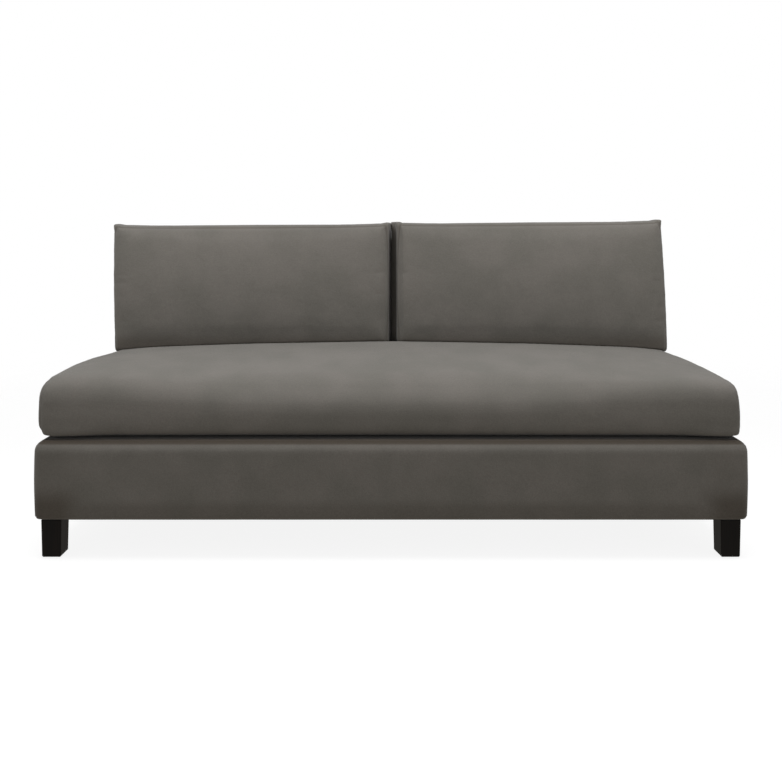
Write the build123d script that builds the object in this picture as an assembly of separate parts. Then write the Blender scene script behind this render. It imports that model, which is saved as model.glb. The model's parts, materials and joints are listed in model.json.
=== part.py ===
from build123d import *
import math
import os

# Armless two-place sofa: one bench seat cushion and two loose back cushions on an upholstered
# hardwood frame with zigzag seat springs.  +Z is up, the sofa faces -Y and +X is to the right of
# someone looking at its front.  The origin is on the floor, in the middle of the bounding box.
# Millimetres throughout.

# ---- overall sizes ----
overall_width = 1830.0
seat_depth = 571.0  # front of the base to the face of the back cushions
floor_gap = 101.0  # floor to the underside of the base
base_height = 202.0
seat_thickness = 178.0  # deck to the top of the seat's crown
back_rise = 385.0  # top of the seat's crown to the top of the back cushions
back_lean = 6.5  # degrees from upright, inside of the back
outside_lean = 3.2  # degrees from upright, outside of the back
frame_drop = 50.0  # top of the back cushions to the top of the upholstered back

# ---- cloth, padding and running clearance ----
clearance = 0.3  # between pieces that move apart
cover_gauge = 2.0
border_padding = 14.0  # over the faces of the base
top_padding = 17.0  # over the top edges of the seat rails
bottom_padding = 3.0
inside_padding = 22.0
base_corner_radius = 22.0
base_top_radius = 26.0
base_bottom_chamfer = 6.0
back_edge_radius = 12.0

# ---- timber ----
rail_thickness = 28.0
post_thickness = 32.0
post_top_width = 36.0
back_rail_thickness = 24.0
top_rail_height = 70.0
tuck_rail_height = 60.0
tuck_rail_lift = 34.0  # deck to the underside of the tucking rails
stretcher_thickness = 22.0
stretcher_height = 90.0
stretcher_offset = 300.0  # from the middle
corner_block_leg = 90.0
corner_block_height = 60.0

# ---- seat suspension ----
spring_count = 8
spring_wire = 3.6
spring_width = 52.0
spring_bars = 16
spring_bend = 0.3  # share of the pitch taken by each cut corner of a bend
clip_width = 20.0
clip_gauge = 1.2
clip_tail = 7.0
border_lap = 12.0  # how far the border padding runs in over the rails
tie_wire_count = 2
tie_wire_diameter = 3.0
insulator_gauge = 3.0
deck_cloth_gauge = 1.5

# ---- back suspension ----
webbing_count = 6
webbing_width = 50.0
webbing_gauge = 1.2

# ---- legs ----
leg_size = 52.0
leg_taper = 1.0  # degrees on each face
leg_side_inset = 17.0
leg_front_inset = 10.0
leg_arris = 2.5  # bevel along the corners and round the foot
glide_radius = 11.0
glide_thickness = 3.0
plate_size = 44.0
plate_thickness = 2.5
bolt_radius = 4.0
bolt_hole_clearance = 0.2
bolt_in_leg = 38.0
bolt_in_frame = 26.0
dust_cover_gauge = 0.8

# ---- seat cushion ----
seat_side_inset = 2.0
seat_front_inset = 10.0
seat_rear_gap = 7.0  # to the inside of the back at deck level
seat_end_radius = 26.0
seat_front_radius = 65.0
seat_rear_radius = 40.0
seat_bottom_radius = 22.0
seat_front_bulge = 3.0
seat_rear_bulge = 3.0
seat_crown = 22.0  # rise between the front and rear edges, in the middle
seat_end_crown = 9.0  # the same at the ends
seat_tilt = 14.0  # rise from the front edge to the rear edge, in the middle
seat_end_drop = 12.0  # fall of both edges from the middle to the ends
seat_draw = 5.0  # how far front and rear pull in between the corners

# ---- back cushions ----
back_thickness = 165.0
back_gap = 6.0  # between the two cushions
back_side_inset = 1.0
back_end_radius = 27.0
back_edge_round = 30.0
back_front_bulge = 12.0
back_rear_bulge = 7.0
back_top_crown = 5.0
back_draw = 3.0
back_end_hold = 0.35  # share of its end rounding that a back cushion shows seen from the front
back_lap = 40.0  # how far the uncut cushion would sink below the seat's crown
bearing_depth = 50.0  # from the crease to the line where the back cushions bear on the seat
back_end_bulge = 0.35  # share of a back cushion's bulges that is left at its ends

# ---- how the cushions are crowned ----
crown_steps = 3  # bands in each half of a cushion's crown
crown_power = 1.6  # the higher, the flatter the middle of a crown
end_turns = (40, 80)  # degrees round a cushion's end at which outlines are drawn
least_radius = 4.0

# ---- cores and zips ----
wrap_side = 42.0  # fibre wrap at the ends of a core
wrap_front = 46.0
wrap_rear = 40.0
wrap_bottom = 24.0
wrap_top = 52.0
back_wrap = 34.0
zip_width = 26.0
zip_tape_gauge = 0.8
zip_coil_width = 4.0
zip_coil_height = 1.2
zip_recess = 3.0
recess_margin = 0.5  # round the tape
recess_reach = 60.0
zip_margin = 150.0  # from a cushion's end to the end of its zip
back_zip_height = 75.0  # above the foot of a back cushion
slider_length = 13.0
slider_width = 9.0
slider_height = 3.0
slider_clearance = 0.2
slider_bevel = 1.0

# ---- heights ----
base_bottom = floor_gap
deck_top = floor_gap + base_height
seat_bottom = deck_top + clearance
crease_z = seat_bottom + seat_thickness
back_top = crease_z + back_rise
frame_top = back_top - frame_drop
rail_bottom = base_bottom + cover_gauge + bottom_padding
rail_top = deck_top - cover_gauge - top_padding
wire_centre_z = rail_top + clip_gauge + clearance + spring_wire / 2
insulator_bottom = wire_centre_z + spring_wire / 2 + clip_gauge + 2 * clearance

# ---- depths across the back, square to its inside face, from the face of the back cushions ----
lean = math.radians(back_lean)
rake = math.radians(outside_lean)
inside_cover_u = back_thickness + back_rear_bulge + clearance
inside_pad_u = inside_cover_u + cover_gauge
webbing_u = inside_pad_u + inside_padding
post_front_u = webbing_u + webbing_gauge

# ---- plan ----
half_width = overall_width / 2
half_frame = half_width - cover_gauge - border_padding
overall_depth = (
    seat_depth
    + (post_front_u + post_top_width) / math.cos(lean)
    + (frame_top - crease_z) * math.tan(lean)
    + cover_gauge / math.cos(rake)
)
front_y = -overall_depth / 2
crease_y = front_y + seat_depth
rail_front_y = front_y + cover_gauge + border_padding
rail_inner_y = rail_front_y + rail_thickness
end_rail_inner_x = half_frame - rail_thickness
deck_front_y = rail_front_y + border_lap
deck_half_width = half_frame - border_lap
leg_x = half_width - leg_side_inset - leg_size / 2
half_seat = half_width - seat_side_inset
seat_front_y = front_y + seat_front_inset
half_back = (half_width - back_side_inset - back_gap / 2) / 2
back_centre_x = back_gap / 2 + half_back

YZ_FROM_X = {"x_dir": (0, 1, 0), "z_dir": (1, 0, 0)}
LEANING = Pos(0, crease_y, crease_z) * Rot(-back_lean, 0, 0)
PARTS = {}


def back_plane_y(depth, height):
    """Y at a height of the plane that lies this deep behind the face of the back cushions."""
    return crease_y + depth / math.cos(lean) + (height - crease_z) * math.tan(lean)


def rear_plane_y(height, inset=0.0):
    """Y at a height of the outside of the back, or of a plane inset from it."""
    top_y = overall_depth / 2
    return top_y + (height - frame_top) * math.tan(rake) - inset / math.cos(rake)


post_foot_front_y = back_plane_y(post_front_u, deck_top)
rear_leg_y = rear_plane_y(base_bottom) - leg_front_inset - leg_size / 2
front_leg_y = front_y + leg_front_inset + leg_size / 2
seat_rear_y = back_plane_y(inside_cover_u, deck_top) - seat_rear_gap


# ---- building blocks ----


def block(low_x, high_x, low_y, high_y, low_z, high_z):
    """A plain box between two corners."""
    middle = ((low_x + high_x) / 2, (low_y + high_y) / 2, (low_z + high_z) / 2)
    return Pos(*middle) * Box(high_x - low_x, high_y - low_y, high_z - low_z)


def side_prism(points, low_x, high_x):
    """A side outline of (y, z) points, extruded across the sofa."""
    outline = Plane(origin=(low_x, 0, 0), **YZ_FROM_X) * Polygon(*points, align=None)
    return extrude(outline, amount=high_x - low_x, dir=(1, 0, 0))


def plan_prism(points, low_z, high_z):
    """A plan outline of (x, y) points, extruded upwards."""
    outline = Pos(0, 0, low_z) * Polygon(*points, align=None)
    return extrude(outline, amount=high_z - low_z, dir=(0, 0, 1))


def mirrored(piece):
    return mirror(piece, about=Plane.YZ)


def keep(node, piece):
    """Name a finished piece or group of pieces."""
    PARTS[node] = piece


# ---- timber frame ----


def bolt_holes():
    """Clearance holes for the four leg bolts, through everything above the leg plates."""
    head = rail_bottom + bolt_in_frame + bolt_hole_clearance
    hole = Cylinder(bolt_radius + bolt_hole_clearance, head)
    return [Pos(x, y, head / 2) * hole for x in (-leg_x, leg_x) for y in (front_leg_y, rear_leg_y)]


def make_seat_rails():
    front = block(-half_frame, half_frame, rail_front_y, rail_inner_y, rail_bottom, rail_top)
    keep("front_seat_rail", front - bolt_holes())
    end = block(
        end_rail_inner_x, half_frame, rail_inner_y, post_foot_front_y, rail_bottom, rail_top
    )
    keep("right_end_rail", end - bolt_holes())
    keep("left_end_rail", mirrored(PARTS["right_end_rail"]))
    span = half_frame - post_thickness
    rear = block(
        -span, span, post_foot_front_y, post_foot_front_y + rail_thickness, rail_bottom, rail_top
    )
    keep("rear_seat_rail", rear)
    for node, x in (("left_stretcher", -stretcher_offset), ("right_stretcher", stretcher_offset)):
        low_x = x - stretcher_thickness / 2
        high_x = x + stretcher_thickness / 2
        top = rail_bottom + stretcher_height
        keep(node, block(low_x, high_x, rail_inner_y, post_foot_front_y, rail_bottom, top))


def make_corner_blocks():
    """Glue blocks that brace the four corners where the legs pull on the rails."""
    top = rail_bottom + corner_block_height
    blocks = []
    for y, step in ((rail_inner_y, corner_block_leg), (post_foot_front_y, -corner_block_leg)):
        corner = [
            (end_rail_inner_x, y),
            (end_rail_inner_x - corner_block_leg, y),
            (end_rail_inner_x, y + step),
        ]
        piece = plan_prism(corner, rail_bottom, top)
        blocks += [piece, mirrored(piece)]
    keep("corner_blocks", Compound(children=[b.solids()[0] for b in blocks]))


def post_outline(foot, head):
    """Side outline of a back post: upright to the deck, then leaning, with a straight rear edge."""
    return [
        (post_foot_front_y, foot),
        (rear_plane_y(foot, cover_gauge), foot),
        (rear_plane_y(head, cover_gauge), head),
        (back_plane_y(post_front_u, head), head),
        (post_foot_front_y, deck_top),
    ]


def make_back_frame():
    post_top = frame_top - cover_gauge - top_padding
    outline = post_outline(rail_bottom, post_top)
    post = side_prism(outline, half_frame - post_thickness, half_frame) - bolt_holes()
    keep("right_back_post", post)
    keep("left_back_post", mirrored(post))
    span = half_frame - post_thickness
    rail_foot = post_top - top_rail_height
    rear_u = post_front_u + back_rail_thickness
    top_rail = [
        (back_plane_y(post_front_u, rail_foot), rail_foot),
        (back_plane_y(rear_u, rail_foot), rail_foot),
        (back_plane_y(rear_u, post_top), post_top),
        (back_plane_y(post_front_u, post_top), post_top),
    ]
    keep("back_top_rail", side_prism(top_rail, -span, span))
    half_post = post_thickness / 2
    centre = [
        (post_foot_front_y, rail_top),
        (rear_plane_y(rail_top, cover_gauge), rail_top),
        (rear_plane_y(rail_foot, cover_gauge), rail_foot),
        (back_plane_y(post_front_u, rail_foot), rail_foot),
        (post_foot_front_y, deck_top),
    ]
    keep("centre_back_post", side_prism(centre, -half_post, half_post))
    tuck_foot = deck_top + tuck_rail_lift
    tuck_top = tuck_foot + tuck_rail_height
    tuck_rail = [
        (back_plane_y(post_front_u, tuck_foot), tuck_foot),
        (back_plane_y(rear_u, tuck_foot), tuck_foot),
        (back_plane_y(rear_u, tuck_top), tuck_top),
        (back_plane_y(post_front_u, tuck_top), tuck_top),
    ]
    keep("right_tuck_rail", side_prism(tuck_rail, half_post, span))
    keep("left_tuck_rail", mirrored(PARTS["right_tuck_rail"]))


# ---- seat suspension ----


def spring_line(first_y, last_y):
    """Centre line of one zigzag spring: bars across it, joined at alternate ends by cut bends."""
    pitch = (last_y - first_y) / (spring_bars - 1)
    cut = pitch * spring_bend
    half = spring_width / 2
    points = [(-half + cut, first_y)]
    for bar in range(spring_bars - 1):
        side = 1 if bar % 2 == 0 else -1
        y = first_y + bar * pitch
        points += [
            (side * (half - cut), y),
            (side * half, y + cut),
            (side * half, y + pitch - cut),
            (side * (half - cut), y + pitch),
        ]
    side = 1 if spring_bars % 2 == 1 else -1
    points.append((side * (half - cut), last_y))
    return points


def wire_outline(points, width):
    """Outline of a flat wire along a centre line, mitred at each bend."""
    near, far = [], []
    last = len(points) - 1
    for index, point in enumerate(points):
        before = Vector(*points[max(index - 1, 0)])
        after = Vector(*points[min(index + 1, last)])
        here = Vector(*point)
        into = (here - before if index else after - here).normalized()
        out = (after - here if index < last else here - before).normalized()
        normal = Vector(-into.Y - out.Y, into.X + out.X).normalized()
        reach = width / 2 / normal.dot(Vector(-into.Y, into.X))
        near.append((here.X + normal.X * reach, here.Y + normal.Y * reach))
        far.append((here.X - normal.X * reach, here.Y - normal.Y * reach))
    return near + far[::-1]


def spring_centres():
    pitch = 2 * end_rail_inner_x / spring_count
    return [-end_rail_inner_x + (index + 0.5) * pitch for index in range(spring_count)]


front_bar_y = rail_inner_y - clip_gauge - clearance - spring_wire / 2
rear_bar_y = post_foot_front_y + clip_gauge + clearance + spring_wire / 2


def make_seat_springs():
    outline = wire_outline(spring_line(front_bar_y, rear_bar_y), spring_wire)
    low = wire_centre_z - spring_wire / 2
    spring = plan_prism(outline, low, low + spring_wire).solids()[0]
    keep("seat_springs", Compound(children=[Pos(x, 0, 0) * spring for x in spring_centres()]))


def clip_outline(bar_y, inward):
    """Side outline of a rail clip, a strip folded round an end bar, its tail on the rail."""
    reach = spring_wire / 2 + clearance
    foot = rail_top
    head = wire_centre_z + reach
    near = bar_y + inward * reach
    far = bar_y - inward * reach
    tail = far - inward * clip_tail
    return [
        (tail, foot),
        (near + inward * clip_gauge, foot),
        (near + inward * clip_gauge, head + clip_gauge),
        (far, head + clip_gauge),
        (far, head),
        (near, head),
        (near, foot + clip_gauge),
        (tail, foot + clip_gauge),
    ]


def make_spring_clips():
    clips = []
    for bar_y, inward in ((front_bar_y, 1), (rear_bar_y, -1)):
        clip = side_prism(clip_outline(bar_y, inward), -clip_width / 2, clip_width / 2).solids()[0]
        clips += [Pos(x, 0, 0) * clip for x in spring_centres()]
    keep("spring_clips", Compound(children=clips))


def make_tie_wires():
    """Straight wires under the springs, from end rail to end rail, that keep them apart."""
    height = wire_centre_z - spring_wire / 2 - tie_wire_diameter / 2
    span = rear_bar_y - front_bar_y
    rod = Rot(0, 90, 0) * Cylinder(tie_wire_diameter / 2, 2 * end_rail_inner_x)
    share = [(index + 1) / (tie_wire_count + 1) for index in range(tie_wire_count)]
    rods = [Pos(0, front_bar_y + s * span, height) * rod.solids()[0] for s in share]
    keep("spring_tie_wires", Compound(children=rods))


def make_deck():
    """Felt over the springs, the foam deck on it and the cloth that the seat cushion lies on."""
    cloth_bottom = deck_top - deck_cloth_gauge
    pad_bottom = insulator_bottom + insulator_gauge
    levels = (
        ("spring_insulator", insulator_bottom, pad_bottom),
        ("deck_pad", pad_bottom, cloth_bottom),
        ("deck_cloth", cloth_bottom, deck_top),
    )
    for node, low, high in levels:
        keep(
            node,
            block(-deck_half_width, deck_half_width, deck_front_y, post_foot_front_y, low, high),
        )


# ---- base upholstery ----


def base_form(inset):
    """The upholstered base as a solid, or the same form inside its cover."""
    low = base_bottom + inset
    high = deck_top - inset
    outline = [
        (front_y + inset, low),
        (rear_plane_y(low, cover_gauge), low),
        (rear_plane_y(high, cover_gauge), high),
        (front_y + inset, high),
    ]
    half = half_width - inset
    solid = side_prism(outline, -half, half)
    front = solid.faces().sort_by(Axis.Y)[0]
    solid = fillet(front.edges().filter_by(Axis.Z), base_corner_radius - inset)
    rim = solid.faces().sort_by(Axis.Z)[-1]
    rear = rim.edges().sort_by(Axis.Y)[-1]
    solid = fillet([e for e in rim.edges() if not e.is_same(rear)], base_top_radius - inset)
    sole = solid.faces().sort_by(Axis.Z)[0]
    rear = sole.edges().sort_by(Axis.Y)[-1]
    return chamfer([e for e in sole.edges() if not e.is_same(rear)], base_bottom_chamfer - inset)


def make_base_upholstery():
    rear_limit = overall_depth
    frame_space = block(-half_frame, half_frame, rail_front_y, rear_limit, rail_bottom, rail_top)
    deck_space = block(
        -deck_half_width, deck_half_width, deck_front_y, rear_limit, rail_top, back_top
    )
    open_below = block(
        -end_rail_inner_x, end_rail_inner_x, rail_inner_y, rear_limit, 0, rail_bottom
    )
    post_space = block(
        -half_frame, half_frame, post_foot_front_y, rear_limit, rail_top, back_top
    )
    outer = base_form(0)
    inner = base_form(cover_gauge)
    cuts = [frame_space, deck_space, open_below, post_space] + bolt_holes()
    seam_y = rail_front_y + border_lap / 2
    front_side = block(-overall_width, overall_width, front_y - seat_depth, seam_y, 0, back_top)
    front_side += block(-deck_half_width, deck_half_width, front_y, rail_inner_y, 0, back_top)
    right_side = block(0, overall_width, front_y, rear_limit, 0, back_top) - front_side
    for name, layer in (("cover", outer - inner), ("pad", inner)):
        trimmed = layer - cuts
        keep(f"front_border_{name}", trimmed & front_side)
        keep(f"right_border_{name}", trimmed & right_side)
        keep(f"left_border_{name}", mirrored(PARTS[f"right_border_{name}"]))


def make_dust_cover():
    """Thin black cloth under the frame, cut away round the four leg plates."""
    rear_y = rear_plane_y(base_bottom) - leg_front_inset
    low = base_bottom - dust_cover_gauge
    side = half_width - leg_side_inset
    cloth = block(-side, side, front_y + leg_front_inset, rear_y, low, base_bottom)
    reach = leg_size + clearance
    for x in (-leg_x, leg_x):
        for y in (front_leg_y, rear_leg_y):
            cloth -= Pos(x, y, base_bottom) * Box(reach, reach, 4 * dust_cover_gauge)
    keep("dust_cover", cloth)


# ---- back upholstery ----


def back_form(inset):
    """The upholstered back above the deck as a solid, or the same form inside its cover."""
    high = frame_top - inset
    front_u = inside_cover_u + inset
    outline = [
        (back_plane_y(front_u, deck_top), deck_top),
        (rear_plane_y(deck_top, cover_gauge), deck_top),
        (rear_plane_y(high, cover_gauge), high),
        (back_plane_y(front_u, high), high),
    ]
    half = half_width - back_side_inset - inset
    solid = side_prism(outline, -half, half)
    rim = solid.faces().sort_by(Axis.Z)[-1]
    edges = rim.edges().sort_by(Axis.Y)[:-1]
    return fillet(edges, back_edge_radius - inset)


def make_back_upholstery():
    post_top = frame_top - cover_gauge - top_padding
    frame_outline = [
        (back_plane_y(webbing_u, deck_top), deck_top),
        (overall_depth, deck_top),
        (overall_depth, post_top),
        (back_plane_y(webbing_u, post_top), post_top),
    ]
    frame_space = side_prism(frame_outline, -half_frame, half_frame)
    inner = back_form(cover_gauge)
    keep("inside_back_pad", inner - frame_space)
    keep("inside_back_cover", back_form(0) - inner)
    outside = [
        (rear_plane_y(base_bottom, cover_gauge), base_bottom),
        (rear_plane_y(base_bottom), base_bottom),
        (rear_plane_y(frame_top), frame_top),
        (rear_plane_y(frame_top, cover_gauge), frame_top),
    ]
    half = half_width - back_side_inset
    keep("outside_back_cover", side_prism(outside, -half, half))


def make_back_webbing():
    """Upright elastic straps in front of the posts, from the tucking rails to the top rail."""
    foot = deck_top + tuck_rail_lift
    head = frame_top - cover_gauge - top_padding
    outline = [
        (back_plane_y(webbing_u, foot), foot),
        (back_plane_y(post_front_u, foot), foot),
        (back_plane_y(post_front_u, head), head),
        (back_plane_y(webbing_u, head), head),
    ]
    strap = side_prism(outline, -webbing_width / 2, webbing_width / 2).solids()[0]
    pitch = 2 * (half_frame - post_thickness) / webbing_count
    centres = [(index + 0.5 - webbing_count / 2) * pitch for index in range(webbing_count)]
    keep("back_webbing", Compound(children=[Pos(x, 0, 0) * strap for x in centres]))


# ---- legs ----


def leg_places():
    return {
        "front_left_leg": (-leg_x, front_leg_y),
        "front_right_leg": (leg_x, front_leg_y),
        "rear_left_leg": (-leg_x, rear_leg_y),
        "rear_right_leg": (leg_x, rear_leg_y),
    }


def leg_group(piece):
    """Copies of a small piece, one at each leg."""
    solid = piece.solids()[0]
    return Compound(children=[Pos(x, y, 0) * solid for x, y in leg_places().values()])


def make_legs():
    leg_top = base_bottom - plate_thickness
    height = leg_top - glide_thickness
    square = Pos(0, 0, leg_top) * Rectangle(leg_size, leg_size)
    leg = extrude(square, amount=height, dir=(0, 0, -1), taper=leg_taper)
    head_edges = leg.faces().sort_by(Axis.Z)[-1].edges()
    leg = chamfer(leg.edges() - head_edges, leg_arris)
    leg -= Pos(0, 0, leg_top - bolt_in_leg / 2) * Cylinder(bolt_radius, bolt_in_leg)
    for node, (x, y) in leg_places().items():
        keep(node, Pos(x, y, 0) * leg)
    glide = Pos(0, 0, glide_thickness / 2) * Cylinder(glide_radius, glide_thickness)
    keep("leg_glides", leg_group(glide))
    bolt_length = bolt_in_leg + plate_thickness + (rail_bottom - base_bottom) + bolt_in_frame
    bolt = Pos(0, 0, leg_top - bolt_in_leg + bolt_length / 2) * Cylinder(bolt_radius, bolt_length)
    keep("leg_bolts", leg_group(bolt))
    plate = Pos(0, 0, leg_top + plate_thickness / 2) * Box(plate_size, plate_size, plate_thickness)
    plate -= Pos(0, 0, leg_top) * Cylinder(bolt_radius, 4 * plate_thickness)
    keep("leg_plates", leg_group(plate))


# ---- cushions ----


def pillow_section(x, sides, radii, bulges, inset, upright_inset):
    """Closed side outline of a cushion at x: four rounded corners and four bowed sides.

    sides are front, rear, bottom and the front and rear heights of the top.  radii are front
    bottom, front top, rear top and rear bottom.  bulges are front, top and rear.  inset draws in
    the front and rear, upright_inset the bottom and top.
    """
    front, rear, bottom, front_top, rear_top = sides
    front += inset
    rear -= inset
    bottom += upright_inset
    front_top -= upright_inset
    rear_top -= upright_inset
    low_front, high_front, high_rear, low_rear = (max(r - inset, least_radius) for r in radii)
    front_bulge, top_bulge, rear_bulge = bulges
    near = 1 - math.sqrt(0.5)
    middle_y = (front + high_front + rear - high_rear) / 2
    middle_top = (front_top + rear_top) / 2 + top_bulge
    front_middle = (bottom + low_front + front_top - high_front) / 2
    rear_middle = (bottom + low_rear + rear_top - high_rear) / 2
    with BuildSketch(Plane(origin=(x, 0, 0), **YZ_FROM_X)) as section:
        with BuildLine():
            Line((rear - low_rear, bottom), (front + low_front, bottom))
            ThreePointArc(
                (front + low_front, bottom),
                (front + low_front * near, bottom + low_front * near),
                (front, bottom + low_front),
            )
            ThreePointArc(
                (front, bottom + low_front),
                (front - front_bulge, front_middle),
                (front, front_top - high_front),
            )
            ThreePointArc(
                (front, front_top - high_front),
                (front + high_front * near, front_top - high_front * near),
                (front + high_front, front_top),
            )
            ThreePointArc(
                (front + high_front, front_top),
                (middle_y, middle_top),
                (rear - high_rear, rear_top),
            )
            ThreePointArc(
                (rear - high_rear, rear_top),
                (rear - high_rear * near, rear_top - high_rear * near),
                (rear, rear_top - high_rear),
            )
            ThreePointArc(
                (rear, rear_top - high_rear),
                (rear + rear_bulge, rear_middle),
                (rear, bottom + low_rear),
            )
            ThreePointArc(
                (rear, bottom + low_rear),
                (rear - low_rear * near, bottom + low_rear * near),
                (rear - low_rear, bottom),
            )
        make_face()
    return section.sketch


def crown_stations():
    """Shares of the half length at which outlines are drawn, closer together near the ends."""
    turns = range(-crown_steps, crown_steps + 1)
    return [math.sin(math.pi / 2 * turn / crown_steps) for turn in turns]


def pillow(section_at, middle_x, half_length, end_radius):
    """A crowned cushion, lofted along X through outlines that draw in to round its ends over.

    section_at(x, share, inset) draws the outline at x.  share runs from 0 in the middle to 1
    where the rounding of the ends begins.
    """
    body_half = half_length - end_radius
    sections = []
    for turn in (-end_turns[1], -end_turns[0]):
        angle = math.radians(turn)
        x = middle_x - body_half + end_radius * math.sin(angle)
        sections.append(section_at(x, 1, end_radius * (1 - math.cos(angle))))
    for share in crown_stations():
        sections.append(section_at(middle_x + share * body_half, abs(share), 0))
    for turn in end_turns:
        angle = math.radians(turn)
        x = middle_x + body_half + end_radius * math.sin(angle)
        sections.append(section_at(x, 1, end_radius * (1 - math.cos(angle))))
    return loft(sections, ruled=True)


def crown_share(share):
    """How much of a crown is left at a share of the way from the middle to an end."""
    return 1 - share**crown_power


def seat_sides(share):
    """Front, rear, bottom and front and rear top of the seat cushion's outline at a share."""
    left = crown_share(share)
    top = seat_bottom + seat_thickness - seat_crown - seat_end_drop * (1 - left)
    rise = seat_tilt / 2 * left
    pulled = seat_draw * left
    return seat_front_y + pulled, seat_rear_y - pulled, seat_bottom, top - rise, top + rise


def seat_top_bulge(share):
    """How far the seat's top stands above the middle of its two edges at a share."""
    return seat_end_crown + (seat_crown - seat_end_crown) * crown_share(share)


def seat_form():
    radii = (seat_bottom_radius, seat_front_radius, seat_rear_radius, seat_bottom_radius)

    def section(x, share, inset):
        bulges = (seat_front_bulge, seat_top_bulge(share), seat_rear_bulge)
        return pillow_section(x, seat_sides(share), radii, bulges, inset, inset)

    return pillow(section, 0, half_seat, seat_end_radius)


def bearing_line(share):
    """Where the back cushions bear on the seat's top at a share: the point and the slope."""
    front, rear, _, front_top, rear_top = seat_sides(share)
    low_y = front + seat_front_radius
    high_y = rear - seat_rear_radius
    middle = (front_top + rear_top) / 2 + seat_top_bulge(share)
    top = ThreePointArc((low_y, front_top), ((low_y + high_y) / 2, middle), (high_y, rear_top))
    along = (crease_y + bearing_depth - low_y) / (high_y - low_y)
    return top @ along, top % along


def seat_clearance_form():
    """What the foot of the right back cushion keeps clear of: all below a plane it bears on.

    The plane runs like the chord of the seat's crown from the middle to the end, and lies on the
    crown where that rises furthest above the chord.
    """
    body_half = half_seat - seat_end_radius
    middle = bearing_line(0)[0].Y
    fall = bearing_line(1)[0].Y - middle
    rises = {s: bearing_line(s)[0].Y - middle - s * fall for s in crown_stations() if s >= 0}
    share = max(rises, key=rises.get)
    point, slope = bearing_line(share)
    along_crown = Vector(body_half, 0, fall)
    bed = Plane(
        origin=(share * body_half, point.X, point.Y + clearance),
        x_dir=along_crown,
        z_dir=along_crown.cross(Vector(0, slope.X, slope.Y)),
    )
    return bed * Pos(0, 0, -seat_thickness / 2) * Box(overall_width, 2 * seat_depth, seat_thickness)


def back_cushion_form():
    """The right back cushion's outer form, upright at the crease and before it meets the seat."""
    top = (back_rise + back_edge_round * math.sin(lean)) / math.cos(lean) - back_top_crown

    def section(x, share, inset):
        left = crown_share(share)
        pulled = back_draw * left
        sides = (pulled, back_thickness - pulled, -back_lap, top + pulled, top + pulled)
        round_all = (back_edge_round,) * 4
        bulge_share = back_end_bulge + (1 - back_end_bulge) * left
        front_bulge = back_front_bulge * bulge_share
        rear_bulge = back_rear_bulge * bulge_share + pulled
        bulges = (front_bulge, back_top_crown, rear_bulge)
        return pillow_section(x, sides, round_all, bulges, inset, inset * back_end_hold)

    return pillow(section, back_centre_x, half_back, back_end_radius)


def zip_pieces(length):
    """A zip that lies along X on the plane y = 0 and faces +Y: its tape and coil, and its slider."""
    tape = block(-length / 2, length / 2, 0, zip_tape_gauge, -zip_width / 2, zip_width / 2)
    coil_top = zip_tape_gauge + zip_coil_height
    half_coil = zip_coil_width / 2
    tape += block(-length / 2, length / 2, zip_tape_gauge, coil_top, -half_coil, half_coil)
    seat = zip_tape_gauge + slider_clearance
    low_x = -length / 2 + slider_length
    slider = block(
        low_x, low_x + slider_length, seat, seat + slider_height, -slider_width / 2,
        slider_width / 2,
    )
    slider = chamfer(slider.faces().sort_by(Axis.Y)[-1].edges(), slider_bevel)
    groove = half_coil + slider_clearance
    slider -= block(-length, length, 0, coil_top + slider_clearance, -groove, groove)
    return tape, slider


def zip_recess_box(length):
    """The shallow pocket that a zip lies in, a little larger than its tape all round."""
    half = length / 2 + recess_margin
    tall = zip_width / 2 + recess_margin
    return block(-half, half, 0, recess_reach, -tall, tall)


def make_seat_cushion():
    form = seat_form()
    top = crease_z - seat_crown
    low_y = seat_front_y + wrap_front
    high_y = seat_rear_y - wrap_rear
    half = half_seat - wrap_side
    low_z = seat_bottom + wrap_bottom
    high_z = top - wrap_top
    core = block(-half, half, low_y, high_y, low_z, high_z)
    gap = clearance
    cavity = block(
        -half - gap, half + gap, low_y - gap, high_y + gap, low_z - gap, high_z + gap
    )
    length = 2 * (half_seat - zip_margin)
    tape, slider = zip_pieces(length)
    least_rear_top = seat_sides(1)[4]
    height = (seat_bottom + seat_bottom_radius + least_rear_top - seat_rear_radius) / 2
    bed = seat_rear_y - seat_draw - zip_recess
    place = Pos(0, bed, height)
    keep("seat_cushion_cover", form - cavity - place * zip_recess_box(length))
    keep("seat_cushion_core", core)
    keep("seat_zip", place * tape)
    keep("seat_zip_slider", place * slider)


def make_back_cushions():
    raw = LEANING * back_cushion_form()
    form = raw - seat_clearance_form()
    top = (back_rise + back_edge_round * math.sin(lean)) / math.cos(lean)
    low_x = back_centre_x - half_back + back_wrap
    high_x = back_centre_x + half_back - back_wrap
    low_u = back_wrap
    high_u = back_thickness - back_wrap
    low_v = back_wrap
    high_v = top - back_wrap
    gap = clearance
    core = LEANING * block(low_x, high_x, low_u, high_u, low_v, high_v)
    cavity = LEANING * block(
        low_x - gap, high_x + gap, low_u - gap, high_u + gap, low_v - gap, high_v + gap
    )
    length = 2 * (half_back - zip_margin)
    tape, slider = zip_pieces(length)
    place = LEANING * Pos(back_centre_x, back_thickness - zip_recess, back_zip_height)
    keep("right_back_cover", form - cavity - place * zip_recess_box(length))
    keep("right_back_core", core)
    keep("right_back_zip", place * tape)
    for piece in ("cover", "core", "zip"):
        keep(f"left_back_{piece}", mirrored(PARTS[f"right_back_{piece}"]))
    keep("right_back_zip_slider", place * slider)
    left_place = LEANING * Pos(-back_centre_x, back_thickness - zip_recess, back_zip_height)
    keep("left_back_zip_slider", left_place * slider)


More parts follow.
